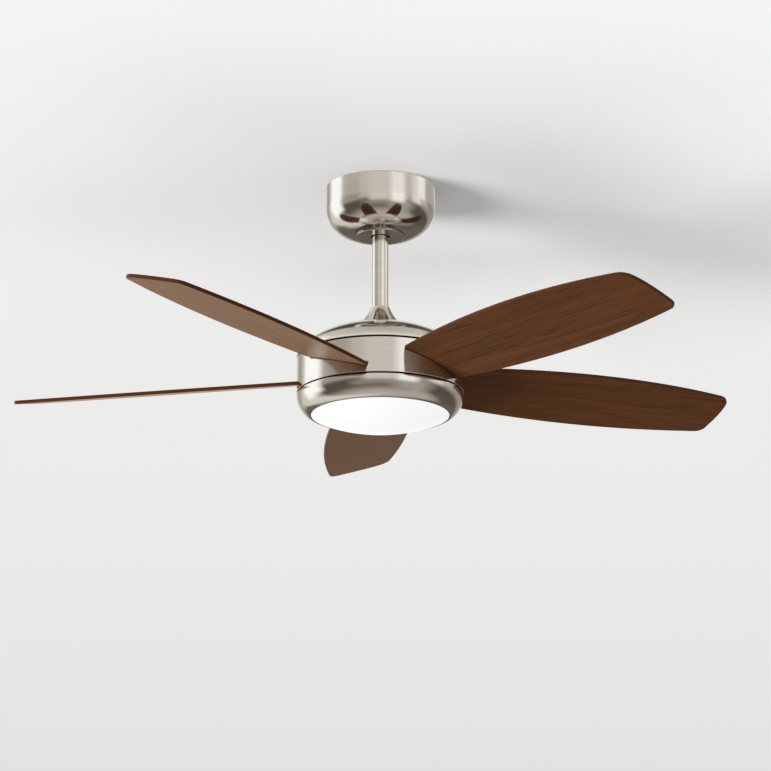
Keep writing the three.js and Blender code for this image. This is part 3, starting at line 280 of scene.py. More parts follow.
def finish_piece(made, material, slot, body, *nodes):
    """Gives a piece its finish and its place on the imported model."""
    give_finish(made, material)
    shading = made.modifiers.new("even shading", "WEIGHTED_NORMAL")
    shading.keep_sharp = True
    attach(made, body)
    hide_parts(*nodes)


# ---- Shader tools ---------------------------------------------------------------------------------------
RELIEF_DEPTH = 0.0001


def new_material(name):
    """A material with its node tree and its shader."""
    material = bpy.data.materials.new(name)
    material.use_nodes = True
    return material, material.node_tree, material.node_tree.nodes["Principled BSDF"]


def effect(name, inputs, outputs):
    """An empty node group with named values going in, and values, colours or vectors coming out."""
    tree = bpy.data.node_groups.new(name, "ShaderNodeTree")
    for label, kind, default in inputs:
        socket = tree.interface.new_socket(label, in_out="INPUT", socket_type=kind)
        if default is not None:
            socket.default_value = default
    for label, kind in outputs:
        tree.interface.new_socket(label, in_out="OUTPUT", socket_type=kind)
    return tree, tree.nodes.new("NodeGroupInput"), tree.nodes.new("NodeGroupOutput")


def use_effect(tree, shared, **values):
    """One use of a shared effect, with its own values."""
    node = tree.nodes.new("ShaderNodeGroup")
    node.node_tree = shared
    for label, value in values.items():
        node.inputs[label].default_value = value
    return node


def mathematics(tree, operation, first, second=None, third=None):
    """A Math node; each term is a number or another node's output."""
    node = tree.nodes.new("ShaderNodeMath")
    node.operation = operation
    for socket, term in zip(node.inputs, (first, second, third)):
        if isinstance(term, bpy.types.NodeSocket):
            tree.links.new(term, socket)
        elif term is not None:
            socket.default_value = term
    return node.outputs["Value"]


def place_on_piece(tree):
    """The place on a piece, in metres."""
    return tree.nodes.new("ShaderNodeTexCoord").outputs["Object"]


def stretched(tree, vector, scale):
    """A place scaled along each axis, so that a noise laid on it runs out long and thin."""
    node = tree.nodes.new("ShaderNodeMapping")
    node.inputs["Scale"].default_value = scale
    tree.links.new(vector, node.inputs["Vector"])
    return node.outputs["Vector"]


def along_axes(tree, vector):
    """The three parts of a vector."""
    parts = tree.nodes.new("ShaderNodeSeparateXYZ")
    tree.links.new(vector, parts.inputs["Vector"])
    return tuple(parts.outputs[axis] for axis in "XYZ")


def give_relief(tree, shader, height, strength):
    """A fine unevenness of the surface."""
    relief = tree.nodes.new("ShaderNodeBump")
    relief.inputs["Strength"].default_value = strength
    relief.inputs["Distance"].default_value = RELIEF_DEPTH
    tree.links.new(height, relief.inputs["Height"])
    tree.links.new(relief.outputs["Normal"], shader.inputs["Normal"])


def noise(tree, vector, scale, detail=3.0, roughness=0.55, distortion=0.0):
    node = tree.nodes.new("ShaderNodeTexNoise")
    node.inputs["Scale"].default_value = scale
    node.inputs["Detail"].default_value = detail
    node.inputs["Roughness"].default_value = roughness
    node.inputs["Distortion"].default_value = distortion
    tree.links.new(vector, node.inputs["Vector"])
    return node.outputs["Fac"]


def between(tree, value, low, high, from_low=0.0, from_high=1.0):
    """Maps a value from one range to another, and holds it there."""
    node = tree.nodes.new("ShaderNodeMapRange")
    tree.links.new(value, node.inputs["Value"])
    for label, number in zip(("From Min", "From Max", "To Min", "To Max"), (from_low, from_high, low, high)):
        node.inputs[label].default_value = number
    return node.outputs["Result"]


def ramp(tree, value, stops, interpolation="EASE"):
    """A colour ramp from (place, colour) stops."""
    node = tree.nodes.new("ShaderNodeValToRGB")
    node.color_ramp.interpolation = interpolation
    elements = node.color_ramp.elements
    while len(elements) < len(stops):
        elements.new(0.5)
    for element, (position, colour) in zip(elements, stops):
        element.position = position
        element.color = (*colour, 1.0)
    tree.links.new(value, node.inputs["Fac"])
    return node.outputs["Color"]


def blend_colours(tree, share, first, second):
    """A mix of two colours, each given or another node's output; the share is the second one's."""
    node = tree.nodes.new("ShaderNodeMix")
    node.data_type = "RGBA"
    factor, first_socket, second_socket = (node.inputs[i] for i in (0, 6, 7))
    tree.links.new(share, factor)
    for socket, colour in ((first_socket, first), (second_socket, second)):
        if isinstance(colour, bpy.types.NodeSocket):
            tree.links.new(colour, socket)
        else:
            socket.default_value = (*colour, 1.0)
    return node.outputs[2]


# ---- Effects shared by several finishes -----------------------------------------------------------------
def turning_marks():
    """Fine lines left round the axis by spinning, turning or brushing."""
    tree, inside, outside = effect(
        "turning marks",
        [("Spacing", "NodeSocketFloat", 0.0006), ("Vector", "NodeSocketVector", None)],
        [("Lines", "NodeSocketFloat"), ("Patches", "NodeSocketFloat")],
    )
    x, y, z = along_axes(tree, inside.outputs["Vector"])
    squares = [mathematics(tree, "POWER", part, 2.0) for part in (x, y)]
    radius = mathematics(tree, "SQRT", mathematics(tree, "ADD", *squares))
    across = mathematics(tree, "DIVIDE", radius, inside.outputs["Spacing"])
    along = mathematics(tree, "DIVIDE", z, inside.outputs["Spacing"])
    lines = tree.nodes.new("ShaderNodeCombineXYZ")
    tree.links.new(across, lines.inputs["X"])
    tree.links.new(along, lines.inputs["Y"])
    tree.links.new(mathematics(tree, "MULTIPLY", x, 6.0), lines.inputs["Z"])
    tree.links.new(noise(tree, lines.outputs["Vector"], 1.0, 2.0), outside.inputs["Lines"])
    tree.links.new(noise(tree, inside.outputs["Vector"], 28.0, 3.0, 0.6), outside.inputs["Patches"])
    return tree


TURNING_MARKS = turning_marks()


# ---- Finishes -------------------------------------------------------------------------------------------
def nickel():
    """Brushed nickel plate: warm grey, brushed round the axis so that highlights spread up and down."""
    material, tree, shader = new_material("brushed nickel")
    shader.inputs["Metallic"].default_value = 1.0
    shader.inputs["Anisotropic"].default_value = 0.75
    shader.inputs["Anisotropic Rotation"].default_value = 0.25
    fine = use_effect(tree, TURNING_MARKS, Spacing=0.0006)
    coarse = use_effect(tree, TURNING_MARKS, Spacing=0.0021)
    for marks in (fine, coarse):
        tree.links.new(place_on_piece(tree), marks.inputs["Vector"])
    plate = blend_colours(tree, coarse.outputs["Patches"], (0.69, 0.645, 0.59), (0.715, 0.67, 0.615))
    streaks = between(tree, coarse.outputs["Lines"], 0.965, 1.025, 0.3, 0.7)
    brushed = tree.nodes.new("ShaderNodeVectorMath")
    brushed.operation = "SCALE"
    tree.links.new(plate, brushed.inputs["Vector"])
    tree.links.new(streaks, brushed.inputs["Scale"])
    tree.links.new(brushed.outputs["Vector"], shader.inputs["Base Color"])
    fine_dullness = between(tree, fine.outputs["Lines"], 0.10, 0.14, 0.3, 0.7)
    coarse_dullness = between(tree, coarse.outputs["Lines"], -0.015, 0.02, 0.3, 0.7)
    tree.links.new(mathematics(tree, "ADD", fine_dullness, coarse_dullness), shader.inputs["Roughness"])
    give_relief(tree, shader, coarse.outputs["Lines"], 0.1)
    return material


def plain_metal(name, colour, worn, roughness, spacing=0.0012):
    """A working metal under the covers, with turning marks and uneven dullness."""
    material, tree, shader = new_material(name)
    shader.inputs["Metallic"].default_value = 1.0
    marks = use_effect(tree, TURNING_MARKS, Spacing=spacing)
    tree.links.new(place_on_piece(tree), marks.inputs["Vector"])
    tree.links.new(blend_colours(tree, marks.outputs["Patches"], colour, worn), shader.inputs["Base Color"])
    dull = between(tree, marks.outputs["Lines"], roughness - 0.06, roughness + 0.1, 0.3, 0.7)
    tree.links.new(dull, shader.inputs["Roughness"])
    return material


def moulded(name, colour, roughness):
    """A moulded plastic with a fine spark-eroded grain."""
    material, tree, shader = new_material(name)
    pores = noise(tree, place_on_piece(tree), 900.0, 2.0)
    shade = noise(tree, place_on_piece(tree), 20.0, 2.0)
    darker = tuple(0.88 * c for c in colour)
    tree.links.new(blend_colours(tree, shade, darker, colour), shader.inputs["Base Color"])
    dull = between(tree, pores, roughness - 0.05, roughness + 0.08, 0.3, 0.7)
    tree.links.new(dull, shader.inputs["Roughness"])
    give_relief(tree, shader, pores, 0.15)
    return material


def walnut():
    """Dark walnut board, its grain running out along the blade; at a low angle the lacquer has a warm sheen,
    partly from the shader and partly painted into the colour as a reflection.
    """
    material, tree, shader = new_material("lacquered walnut")
    attribute = tree.nodes.new("ShaderNodeAttribute")
    attribute.attribute_name = "board"
    board = attribute.outputs["Vector"]
    pores = noise(tree, stretched(tree, board, (24.0, 900.0, 900.0)), 1.0, 3.0, 0.6)
    tree.links.new(wood_colour(tree, board, pores), shader.inputs["Base Color"])
    tree.links.new(between(tree, pores, 0.36, 0.26, 0.3, 0.6), shader.inputs["Roughness"])
    give_relief(tree, shader, pores, 0.12)
    shader.inputs["Specular IOR Level"].default_value = 0.07
    shader.inputs["Sheen Weight"].default_value = 0.10
    shader.inputs["Sheen Roughness"].default_value = 0.3
    shader.inputs["Sheen Tint"].default_value = (1.0, 0.62, 0.38, 1.0)
    return material


def wood_colour(tree, board, pores):
    """Streaked heartwood with pores and short dark flecks; a plain edge, and a painted warm reflection that
    lightens the faces at a low angle.
    """
    grain = stretched(tree, board, (2.6, 52.0, 52.0))
    figure = ramp(tree, noise(tree, grain, 1.6, 6.0, 0.62, 0.6), [
        (0.22, (0.051, 0.0172, 0.0048)),
        (0.45, (0.074, 0.0256, 0.0070)),
        (0.62, (0.093, 0.0318, 0.0087)),
        (0.80, (0.125, 0.0422, 0.0112)),
    ])
    cloud = between(tree, noise(tree, grain, 0.35, 2.0), 0.0, 0.45, 0.35, 0.75)
    colour = blend_colours(tree, cloud, figure, (0.053, 0.0185, 0.0056))
    colour = blend_colours(tree, between(tree, pores, 0.5, 0.0, 0.28, 0.45), colour, (0.026, 0.0088, 0.0036))
    dashes = noise(tree, stretched(tree, board, (14.0, 260.0, 260.0)), 1.0, 3.0, 0.6)
    flecks = between(tree, dashes, 0.70, 0.0, 0.34, 0.44)
    colour = blend_colours(tree, flecks, colour, (0.030, 0.0092, 0.0034))
    height = mathematics(tree, "ABSOLUTE", along_axes(tree, board)[2])
    on_face = between(tree, height, 0.0, 1.0, 0.40 * BLADE_THICKNESS, 0.49 * BLADE_THICKNESS)
    colour = blend_colours(tree, on_face, (0.060, 0.0175, 0.0058), colour)
    # Painted sheen: a warm reflection painted into the colour of the faces where they are seen at a low angle.
    glance = tree.nodes.new("ShaderNodeLayerWeight")
    painted_sheen_share = between(tree, glance.outputs["Facing"], 0.0, 1.0, 0.66, 0.90)
    glow = mathematics(tree, "MULTIPLY", painted_sheen_share, on_face)
    return blend_colours(tree, glow, colour, (0.165, 0.078, 0.034))


def opal():
    """Opal acrylic, lit from behind: a little dimmer towards its rim."""
    material, tree, shader = new_material("lit opal acrylic")
    shader.inputs["Base Color"].default_value = (0.18, 0.18, 0.178, 1.0)
    shader.inputs["Roughness"].default_value = 0.35
    cloud = noise(tree, place_on_piece(tree), 9.0, 2.0)
    glow = blend_colours(tree, cloud, (0.93, 0.93, 0.92), (0.97, 0.97, 0.965))
    radius = tree.nodes.new("ShaderNodeVectorMath")
    radius.operation = "LENGTH"
    tree.links.new(stretched(tree, place_on_piece(tree), (1.0, 1.0, 0.0)), radius.inputs[0])
    rim = diffuser_high.x - DIFFUSER_REVEAL - DIFFUSER_DARK_RIM
    fade = (rim - DIFFUSER_RIM_FADE, rim + DIFFUSER_RIM_FADE)
    shaded = between(tree, radius.outputs["Value"], 0.0, 1.0, *fade)
    tree.links.new(blend_colours(tree, shaded, glow, (0.0, 0.0, 0.0)), shader.inputs["Emission Color"])
    shader.inputs["Emission Strength"].default_value = 0.80
    return material


NICKEL = nickel()
WALNUT = walnut()
OPAL = opal()
FINISHES = {
    "steel": plain_metal("zinc-plated steel", (0.50, 0.51, 0.52), (0.62, 0.63, 0.63), 0.34),
    "aluminium": plain_metal("cast aluminium", (0.62, 0.63, 0.64), (0.74, 0.75, 0.76), 0.42),
    "copper": plain_metal("enamelled copper", (0.52, 0.22, 0.10), (0.66, 0.32, 0.15), 0.32, 0.0008),
    "magnet": plain_metal("sintered magnet", (0.10, 0.10, 0.11), (0.16, 0.16, 0.17), 0.5),
    "dark_plastic": moulded("dark moulded plastic", (0.020, 0.022, 0.025), 0.5),
    "white_plastic": moulded("white moulded plastic", (0.78, 0.78, 0.75), 0.45),
}
FINISH_OF_NODE = {
    "steel": ["hanger_bracket", "canopy_screw_1", "canopy_screw_2", "hanger_pin", "motor_yoke", "yoke_pin",
              "motor_shaft", "stator_core", "upper_bearing_inner", "lower_bearing_inner",
              "upper_bearing_outer", "lower_bearing_outer", "rotor_case", "light_plate", "shaft_nut"],
    "aluminium": ["rotor_carrier", "led_tray"],
    "copper": ["stator_winding"],
    "magnet": ["magnet_ring"],
    "dark_plastic": ["hanger_ball", "remote_receiver", "motor_lead"],
    "white_plastic": ["led_board", "led_driver"],
}


def finish_inner_parts():
    """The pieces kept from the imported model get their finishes."""
    for finish, names in FINISH_OF_NODE.items():
        for name in names:
            give_finish(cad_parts[name], FINISHES[finish])
    for i in range(1, BLADE_COUNT + 1):
        give_finish(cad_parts[f"pitch_wedge_{i}"], FINISHES["aluminium"])
        for k in (1, 2):
            give_finish(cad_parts[f"blade_screw_{i}_{k}"], FINISHES["steel"])


# ---- Ceiling side ---------------------------------------------------------------------------------------
def canopy():
    """A spun cup with a recessed floor."""
    outer, bottom = canopy_high.x, canopy_low.z
    inner = outer - SHEET
    well = bottom + CANOPY_WELL_DEPTH
    step = CANOPY_WELL_RADIUS + SHEET
    outline = [(outer, 0.0)]
    outline += shoulder((outer, -CANOPY_WALL), (CANOPY_FLAT_RADIUS, bottom), 2)
    outline += [(CANOPY_WELL_RADIUS, bottom), (CANOPY_WELL_RADIUS, well), (CANOPY_OPENING_RADIUS, well)]
    outline += [(CANOPY_OPENING_RADIUS, well + SHEET), (step, well + SHEET)]
    outline += reversed(shoulder((inner, -CANOPY_WALL), (step, bottom + SHEET), 2))
    outline += [(inner, 0.0)]
    made = new_object("canopy_shell", spun(outline))
    screws = [Matrix.Translation((side * CANOPY_SCREW_OUT, 0, well)) for side in (-1, 1)]
    carve(made, round_cutters(SCREW_HOLE_RADIUS, 4 * SHEET, screws))
    ease_edges(made, SPUN_EDGE)
    finish_piece(made, NICKEL, "nickel", "ceiling_mount", "canopy")


def canopy_cover():
    """The snap-on cover, with a bead round its edge and a skirt inside the canopy's recess."""
    radius, bottom = cover_high.x, cover_low.z
    face, top = bottom + COVER_BEAD, canopy_low.z - COVER_GROOVE
    skirt = CANOPY_WELL_RADIUS - GAP
    bead = bend((radius - COVER_BEAD_WIDTH, face), (radius - COVER_BEAD_WIDTH / 2, bottom - COVER_BEAD),
                (radius, face + SHEET / 4), 8)
    outline = [(COVER_HOLE_RADIUS, top), (COVER_HOLE_RADIUS, face)] + bead
    outline += [(radius, top), (skirt, top), (skirt, cover_high.z), (skirt - SHEET, cover_high.z)]
    outline += [(skirt - SHEET, top)]
    made = new_object("canopy_trim", spun(outline, edge=SPUN_EDGE / 2))
    finish_piece(made, NICKEL, "nickel", "ceiling_mount", "canopy_cover")


# ---- Hanging parts --------------------------------------------------------------------------------------
def downrod():
    """The tube that carries the motor, with a cross hole for the pin at each end."""
    outer = rod_high.x
    inner = outer - ROD_WALL
    outline = [(inner, rod_low.z), (outer, rod_low.z), (outer, rod_high.z), (inner, rod_high.z)]
    made = new_object("downrod_tube", spun(outline, SMALL_STEPS))
    crossways = Matrix.Rotation(math.pi / 2, 4, "Y")
    pins = [(low + high) / 2 for low, high in (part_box("hanger_pin"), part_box("yoke_pin"))]
    holes = [Matrix.Translation(middle) @ crossways for middle in pins]
    carve(made, round_cutters(PIN_HOLE_RADIUS, 4 * outer, holes))
    ease_edges(made, SPUN_EDGE)
    finish_piece(made, NICKEL, "nickel", "hanging_motor", "downrod")


def bell_flank(inset):
    """Points down the flank of the coupling bell, or of its inner face."""
    base, top = bell_low.z, bell_high.z
    start = (BELL_TOP_RADIUS - inset, top - inset)
    control = (BELL_TOP_RADIUS + BELL_BEND["widening"] - inset, base + BELL_BEND["level"] * (top - base))
    return bend(start, control, (bell_high.x - inset, base))


def coupling_bell():
    """The flared bell that hides the joint of rod and motor."""
    neck, top = rod_high.x + GAP, bell_high.z
    outline = list(reversed(bell_flank(0.0))) + [(neck, top), (neck, top - SHEET)] + bell_flank(SHEET)
    made = new_object("coupling_bell", spun(outline, SMALL_STEPS))
    finish_piece(made, NICKEL, "nickel", "hanging_motor", "coupling_cover")


def dome():
    """The dome over the motor."""
    rim = dome_low.z + SEAM_EASE
    crown = (0.0, dome_apex)
    inner_crown = (0.0, dome_apex - SHEET)
    shape = (DOME_POWER, LONG_CURVE_STEPS, DOME_HOLE_RADIUS)
    outline = shoulder((body_radius, rim), crown, *shape)
    outline += reversed(shoulder((body_radius - SHEET, rim), inner_crown, *shape))
    made = new_object("motor_dome", spun(outline))
    finish_piece(made, NICKEL, "nickel", "hanging_motor", "top_cover")


def light_ring():
    """The ring under the motor, rounded in to the diffuser's mouth."""
    top, mouth = ring_high.z - SEAM_EASE, ring_low.z
    shoulder_level = top - RING_WALL
    wall = body_radius - RING_SHEET
    plate_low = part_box("light_plate")[0].z
    flange_top = plate_low - GAP
    flange_bottom = flange_top - RING_LEDGE_SHEET
    outline = [(body_radius, top)]
    outline += shoulder((body_radius, shoulder_level), (mouth_radius, mouth), RING_POWER, LONG_CURVE_STEPS)
    outline += [(mouth_radius, ledge_bottom), (mouth_radius - RING_LEDGE, ledge_bottom)]
    outline += [(mouth_radius - RING_LEDGE, ledge_top)]
    inner_wall = (wall, min(shoulder_level, flange_bottom))
    outline += reversed(shoulder(inner_wall, (mouth_radius + RING_SHEET, ledge_top), RING_POWER))
    outline += [(body_radius - RING_FLANGE, flange_bottom), (body_radius - RING_FLANGE, flange_top)]
    outline += [(wall, flange_top), (wall, top)]
    made = new_object("light_ring_shell", spun(outline, edge=RING_EDGE))
    low, high = ledge_bottom - GAP, ledge_top + GAP
    notches = lug_blocks(
        mouth_radius - 2 * RING_LEDGE, mouth_radius - GAP, low, high, LUG_TURN, LUG_ANGLE + NOTCH_SPARE
    )
    carve(made, notches)
    ease_edges(made, SPUN_EDGE)
    finish_piece(made, NICKEL, "nickel", "hanging_motor", "light_ring")


def diffuser():
    """The opal dish with its skirt and bayonet lugs."""
    edge_radius = diffuser_high.x - DIFFUSER_REVEAL
    mouth, bottom = ring_low.z, diffuser_low.z
    skirt_top = mouth + DIFFUSER_SKIRT
    skirt = (mouth_radius - RING_LEDGE) * math.cos(math.pi / RING_LEDGE_SIDES) - GAP
    inner = skirt - DIFFUSER_SHEET
    outline = shallow_bowl(edge_radius, mouth, bottom)
    outline += [(edge_radius, ledge_bottom - GAP), (skirt, ledge_bottom - GAP), (skirt, skirt_top)]
    outline += [(inner, skirt_top)]
    outline += reversed(shallow_bowl(inner, mouth + DIFFUSER_INNER_RISE, bottom + DIFFUSER_SHEET))
    made = new_object("diffuser_dish", spun(outline, edge=DIFFUSER_EDGE))
    lug_low = ledge_top + GAP
    lugs = lug_blocks(
        skirt - DIFFUSER_SHEET / 4, edge_radius - LUG_INSET, lug_low, lug_low + LUG_HEIGHT, 0.0, LUG_ANGLE
    )
    carve(made, lugs, "UNION")
    finish_piece(made, OPAL, "opal", "diffuser", "diffuser")


# ---- Turning parts --------------------------------------------------------------------------------------
def blade_angle(index):
    return BLADE_PHASE + index * math.tau / BLADE_COUNT


def blade_place(index):
    """Turns a level blade about its own axis, then out to its place round the hub."""
    middle = band_high.z - BLADE_DROP
    pitch = Matrix.Rotation(-BLADE_PITCH, 4, "X")
    return Matrix.Translation((0, 0, middle)) @ Matrix.Rotation(blade_angle(index), 4, "Z") @ pitch


def blade_side(side, sign, steps=40):
    """One long edge of a blade, from the root to the tip."""
    tip = BLADE_TIP - side["setback"]
    third = (tip - BLADE_ROOT) / 3
    knots = [
        Vector((BLADE_ROOT, sign * side["root"])),
        Vector((BLADE_ROOT + third, sign * side["inner"])),
        Vector((BLADE_ROOT + 2 * third, sign * side["outer"])),
        Vector((tip, sign * side["tip"])),
    ]
    return interpolate_bezier(*knots, steps + 1)


def blade_tip(trailing_end, leading_end, steps=24):
    """The bowed end of a blade."""
    crown_x = 2 * BLADE_TIP - (trailing_end.x + leading_end.x) / 2
    crown_y = -2 * TIP_CROWN_SHIFT - (TRAILING["tip"] - LEADING["tip"]) / 2
    return [Vector(p) for p in bend(trailing_end, (crown_x, crown_y), leading_end, steps)]


def distance_along(points):
    lengths = [0.0]
    for a, b in zip(points, points[1:]):
        lengths.append(lengths[-1] + (b - a).length)
    return lengths


def point_at(points, distance):
    lengths = distance_along(points)
    for (a, b), (start, end) in zip(zip(points, points[1:]), zip(lengths, lengths[1:])):
        if distance <= end:
            return a.lerp(b, (distance - start) / (end - start))
    return points[-1]


def with_corners(sides, radii, steps=8):
    """Joins sides end to end into one outline, with each meeting point rounded; radii[i] follows sides[i]."""
    outline = []
    for i, side in enumerate(sides):
        total = distance_along(side)[-1]
        before, after = radii[i - 1], radii[i]
        kept = [p for p, d in zip(side, distance_along(side)) if before < d < total - after]
        start, end = point_at(side, before), point_at(side, total - after)
        following = sides[(i + 1) % len(sides)]
        corner = [Vector(p) for p in bend(end, side[-1], point_at(following, after), steps)]
        outline += [start] + kept + corner[:-1]
    return outline


def blade(index):
    """A flat board with its edges rounded over."""
    trailing = blade_side(TRAILING, 1)
    leading = list(reversed(blade_side(LEADING, -1)))
    tip = blade_tip(trailing[-1], leading[0])
    root = [leading[-1], trailing[0]]
    outline = with_corners([trailing, tip, leading, root], [TIP_CORNER, TIP_CORNER, ROOT_CORNER, ROOT_CORNER])
    bm = bmesh.new()
    underside = bm.faces.new([bm.verts.new((p.x, p.y, -BLADE_THICKNESS / 2)) for p in outline])
    lifted = bmesh.ops.extrude_face_region(bm, geom=[underside])["geom"]
    upper = [v for v in lifted if isinstance(v, bmesh.types.BMVert)]
    bmesh.ops.translate(bm, verts=upper, vec=(0, 0, BLADE_THICKNESS))
    bmesh.ops.recalc_face_normals(bm, faces=bm.faces[:])
    round_edges(bm, BLADE_EDGE, 3)
    made = new_object(f"blade_board_{index + 1}", bm)
    out, aside = BLADE_SCREW
    holes = [Matrix.Translation((out, side * aside, 0)) for side in (-1, 1)]
    carve(made, round_cutters(SCREW_HOLE_RADIUS, 3 * BLADE_THICKNESS, holes))
    board = made.data.attributes.new("board", "FLOAT_VECTOR", "POINT")
    for vertex, grown in zip(made.data.vertices, board.data):
        grown.vector = vertex.co + index * GRAIN_SHIFT
    made.data.transform(blade_place(index))
    finish_piece(made, WALNUT, "walnut", "rotor", f"blade_{index + 1}")


def hub_band():
    """The turning band, slotted for the blades."""
    top, bottom = band_high.z - SEAM_EASE, band_low.z + SEAM_EASE
    inner = body_radius - BAND_WALL
    outline = [
        (body_radius - BAND_LIP, bottom),
        (body_radius, bottom),
        (body_radius, top),
        (inner, top),
        (inner, bottom + BAND_WALL),
        (body_radius - BAND_LIP, bottom + BAND_WALL),
    ]
    made = new_object("hub_band_shell", spun(outline, edge=BAND_EDGE))
    carve(made, slot_cutters())
    ease_edges(made, SPUN_EDGE)
    finish_piece(made, NICKEL, "nickel", "rotor", "hub_band")


def slot_cutters():
    """A slanted block for each blade, as wide as the blade where it passes the band."""
    wall = body_radius - SLOT_DEPTH
    trailing = max(p.y for p in blade_side(TRAILING, 1) if p.x < wall) + SLOT_CLEARANCE
    leading = max(-p.y for p in blade_side(LEADING, -1) if p.x < wall) + SLOT_CLEARANCE
    bm = bmesh.new()
    for index in range(BLADE_COUNT):
        size = Matrix.Diagonal((body_radius, trailing + leading, BLADE_THICKNESS + 2 * SLOT_CLEARANCE, 1))
        middle = Matrix.Translation((body_radius * SLOT_CUTTER_OUT, (trailing - leading) / 2, 0))
        bmesh.ops.create_cube(bm, size=1.0, matrix=blade_place(index) @ middle @ size)
    return new_object("slot cutters", bm)


# ---- Room, light and camera -----------------------------------------------------------------------------
ROOM_COLOUR = (0.86, 0.86, 0.855)  # the room as the camera sees it, where the ceiling isn't in the way
ROOM_FILL = (0.64, 0.64, 0.64)  # what lights the matt surfaces
KEY_DIRECTION = Vector((0.86, 0.51, 0.33))  # the way the light travels: from the left front, upwards
KEY_STRENGTH = 3.8
KEY_WIDTH = math.radians(28)
CEILING_REACH = 16.0
CEILING_GAP = 0.0006  # above the canopy's rim
# The ceiling's colour is lighter at the front and darker towards the back: painted fall-off of the light with
# distance.
CEILING_FALLOFF_SPAN = (-0.7, 6.4)  # from front to back, where its tone changes
CEILING_NEAR = (0.93, 0.93, 0.925)
CEILING_OVER_FAN = (0.845, 0.845, 0.84)
CEILING_FAR = (0.77, 0.77, 0.765)
CAMERA_LENS = 122.93
CAMERA_PLACE = (0.0073, -3.54045, -1.29002)
CAMERA_TILT = math.radians(15.76)
DARK_TINT = (1.0, 0.90, 0.74)  # what the room's dimmer places look like in polished metal
PALE_TINT = (0.0, 0.105, 0.25)  # added as they get brighter
ROOM_TONES = [  # degrees above the horizon, and brightness
    (-90, 0.66), (-62, 0.50), (-50, 0.31), (-40, 0.13), (-14, 0.11), (-5, 0.40),
    (2, 0.62), (20, 0.64), (27, 0.95), (42, 0.95), (50, 0.76), (90, 0.56),
]
ROOM_PANELS = [  # degrees to the right, degrees up, width, height, brightness and softness of the edge
    (-138, -60, 62, 50, 0.85, 24),  # pale floor behind on the left
    (-138, -22, 26, 48, 0.82, 16),
    (-120, -34, 24, 34, 0.90, 18),
    (-150, 14, 20, 30, 0.42, 12),
    (-109, 10, 38, 68, 1.36, 12),  # large soft box
    (-62, 8, 38, 22, 0.40, 14),
    (2, 0, 50, 42, 0.79, 14),  # wall in front
    (-4, -27, 76, 18, 0.36, 18),
    (50, -30, 54, 48, 0.46, 28),
    (38, 2, 30, 42, 1.20, 12),  # strip light
    (82, 9, 22, 26, 0.98, 10),
    (98, 26, 24, 22, 1.16, 10),  # high window
    (140, 8, 52, 22, 0.36, 16),
    (134, 42, 34, 26, 0.26, 12),
    (105, -66, 90, 40, 0.55, 20),
    (180, 52, 66, 30, 0.08, 12),  # shade behind, high up
    (180, -24, 64, 18, 0.16, 8),
    (-177, 16, 44, 16, 0.80, 8),  # wall behind
]


def ceiling():
    """A wide pale ceiling that shows from below and lets a view from above through; its colour darkens towards
    the back as painted fall-off of the light.
    """
    bm = bmesh.new()
    bmesh.ops.create_grid(bm, x_segments=1, y_segments=1, size=CEILING_REACH)
    bmesh.ops.reverse_faces(bm, faces=bm.faces[:])
    bmesh.ops.translate(bm, verts=bm.verts[:], vec=(0, 0, CEILING_GAP))
    made = new_object("ceiling", bm)
    material, tree, shader = new_material("ceiling paint")
    # Painted fall-off of light: the colour darkens from front to back.
    depth = between(tree, along_axes(tree, place_on_piece(tree))[1], 0.0, 1.0, *CEILING_FALLOFF_SPAN)
    paint_and_falloff = ramp(tree, depth, [(0.0, CEILING_NEAR), (0.25, CEILING_OVER_FAN), (1.0, CEILING_FAR)], "LINEAR")
    tree.links.new(paint_and_falloff, shader.inputs["Base Color"])
    shader.inputs["Roughness"].default_value = 0.9
    clear = tree.nodes.new("ShaderNodeBsdfTransparent")
    side = tree.nodes.new("ShaderNodeNewGeometry")
    choose = tree.nodes.new("ShaderNodeMixShader")
    tree.links.new(side.outputs["Backfacing"], choose.inputs["Fac"])
    tree.links.new(shader.outputs["BSDF"], choose.inputs[1])
    tree.links.new(clear.outputs["BSDF"], choose.inputs[2])
    tree.links.new(choose.outputs["Shader"], tree.nodes["Material Output"].inputs["Surface"])
    give_finish(made, material)
    made.visible_glossy = False


def tinted(tone):
    """The warm grey that a tone of the room has in polished metal."""
    return tuple(tone * (dark + pale * tone) for dark, pale in zip(DARK_TINT, PALE_TINT))


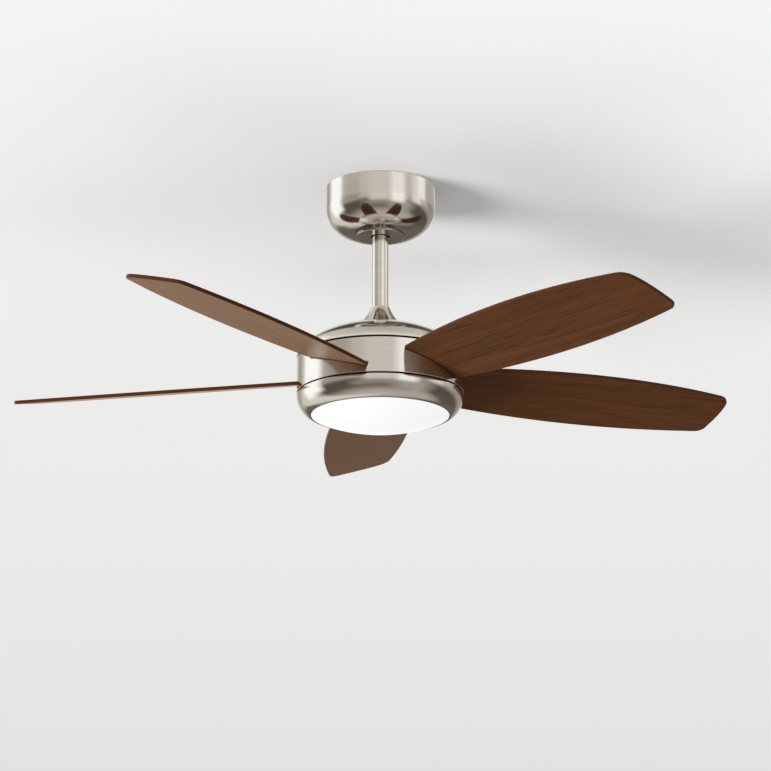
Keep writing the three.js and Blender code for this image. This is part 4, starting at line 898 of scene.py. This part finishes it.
def room_light():
    """Even pale light all round; polished surfaces see a room with soft panels in it."""
    world = bpy.data.worlds.new("studio")
    scene.world = world
    world.use_nodes = True
    tree = world.node_tree
    direction = tree.nodes.new("ShaderNodeTexCoord")
    x, y, z = along_axes(tree, direction.outputs["Generated"])
    turn = mathematics(tree, "ARCTAN2", x, mathematics(tree, "MULTIPLY", y, -1.0))
    rise = mathematics(tree, "ARCSINE", z)
    height = between(tree, rise, 0.0, 1.0, -math.pi / 2, math.pi / 2)
    tones = [((degrees + 90) / 180, tinted(tone)) for degrees, tone in ROOM_TONES]
    reflected = ramp(tree, height, tones, "LINEAR")
    for panel in ROOM_PANELS:
        reflected = room_panel(tree, reflected, turn, rise, *panel)
    rays = tree.nodes.new("ShaderNodeLightPath")
    seen = blend_colours(tree, rays.outputs["Is Camera Ray"], ROOM_FILL, ROOM_COLOUR)
    seen = blend_colours(tree, rays.outputs["Is Glossy Ray"], seen, reflected)
    background = tree.nodes["Background"]
    tree.links.new(seen, background.inputs["Color"])
    background.inputs["Strength"].default_value = 1.0


def room_panel(tree, behind, turn, rise, azimuth, elevation, width, height, tone, softness):
    """A soft-edged panel in front of what is behind it; the angles are in degrees."""
    shares = []
    for angle, middle, extent in ((turn, azimuth, width), (rise, elevation, height)):
        away = mathematics(tree, "SUBTRACT", angle, math.radians(middle))
        away = mathematics(tree, "WRAP", away, math.pi, -math.pi)
        away = mathematics(tree, "ABSOLUTE", away)
        edges = (math.radians((extent - softness) / 2), math.radians((extent + softness) / 2))
        shares.append(between(tree, away, 1.0, 0.0, *edges))
    return blend_colours(tree, mathematics(tree, "MULTIPLY", *shares), behind, tinted(tone))


def key_light():
    """A low soft key from the left front, which throws the canopy's shadow to the right."""
    lamp = bpy.data.lights.new("key", "SUN")
    lamp.energy = KEY_STRENGTH
    lamp.angle = KEY_WIDTH
    key = bpy.data.objects.new("key", lamp)
    key.rotation_euler = KEY_DIRECTION.to_track_quat("-Z", "Y").to_euler()
    key.visible_glossy = False
    scene.collection.objects.link(key)


def camera():
    """A long lens below the fan, looking up a little."""
    data = bpy.data.cameras.new("camera")
    data.lens = CAMERA_LENS
    data.sensor_width = 36.0
    data.clip_end = 100.0
    made = bpy.data.objects.new("camera", data)
    made.location = CAMERA_PLACE
    made.rotation_euler = (math.pi / 2 + CAMERA_TILT, 0, 0)
    scene.collection.objects.link(made)
    scene.camera = made


camera()
canopy()
canopy_cover()
downrod()
coupling_bell()
dome()
hub_band()
light_ring()
diffuser()
for number in range(BLADE_COUNT):
    blade(number)
finish_inner_parts()
ceiling()
room_light()
key_light()
scene.view_settings.view_transform = "Standard"
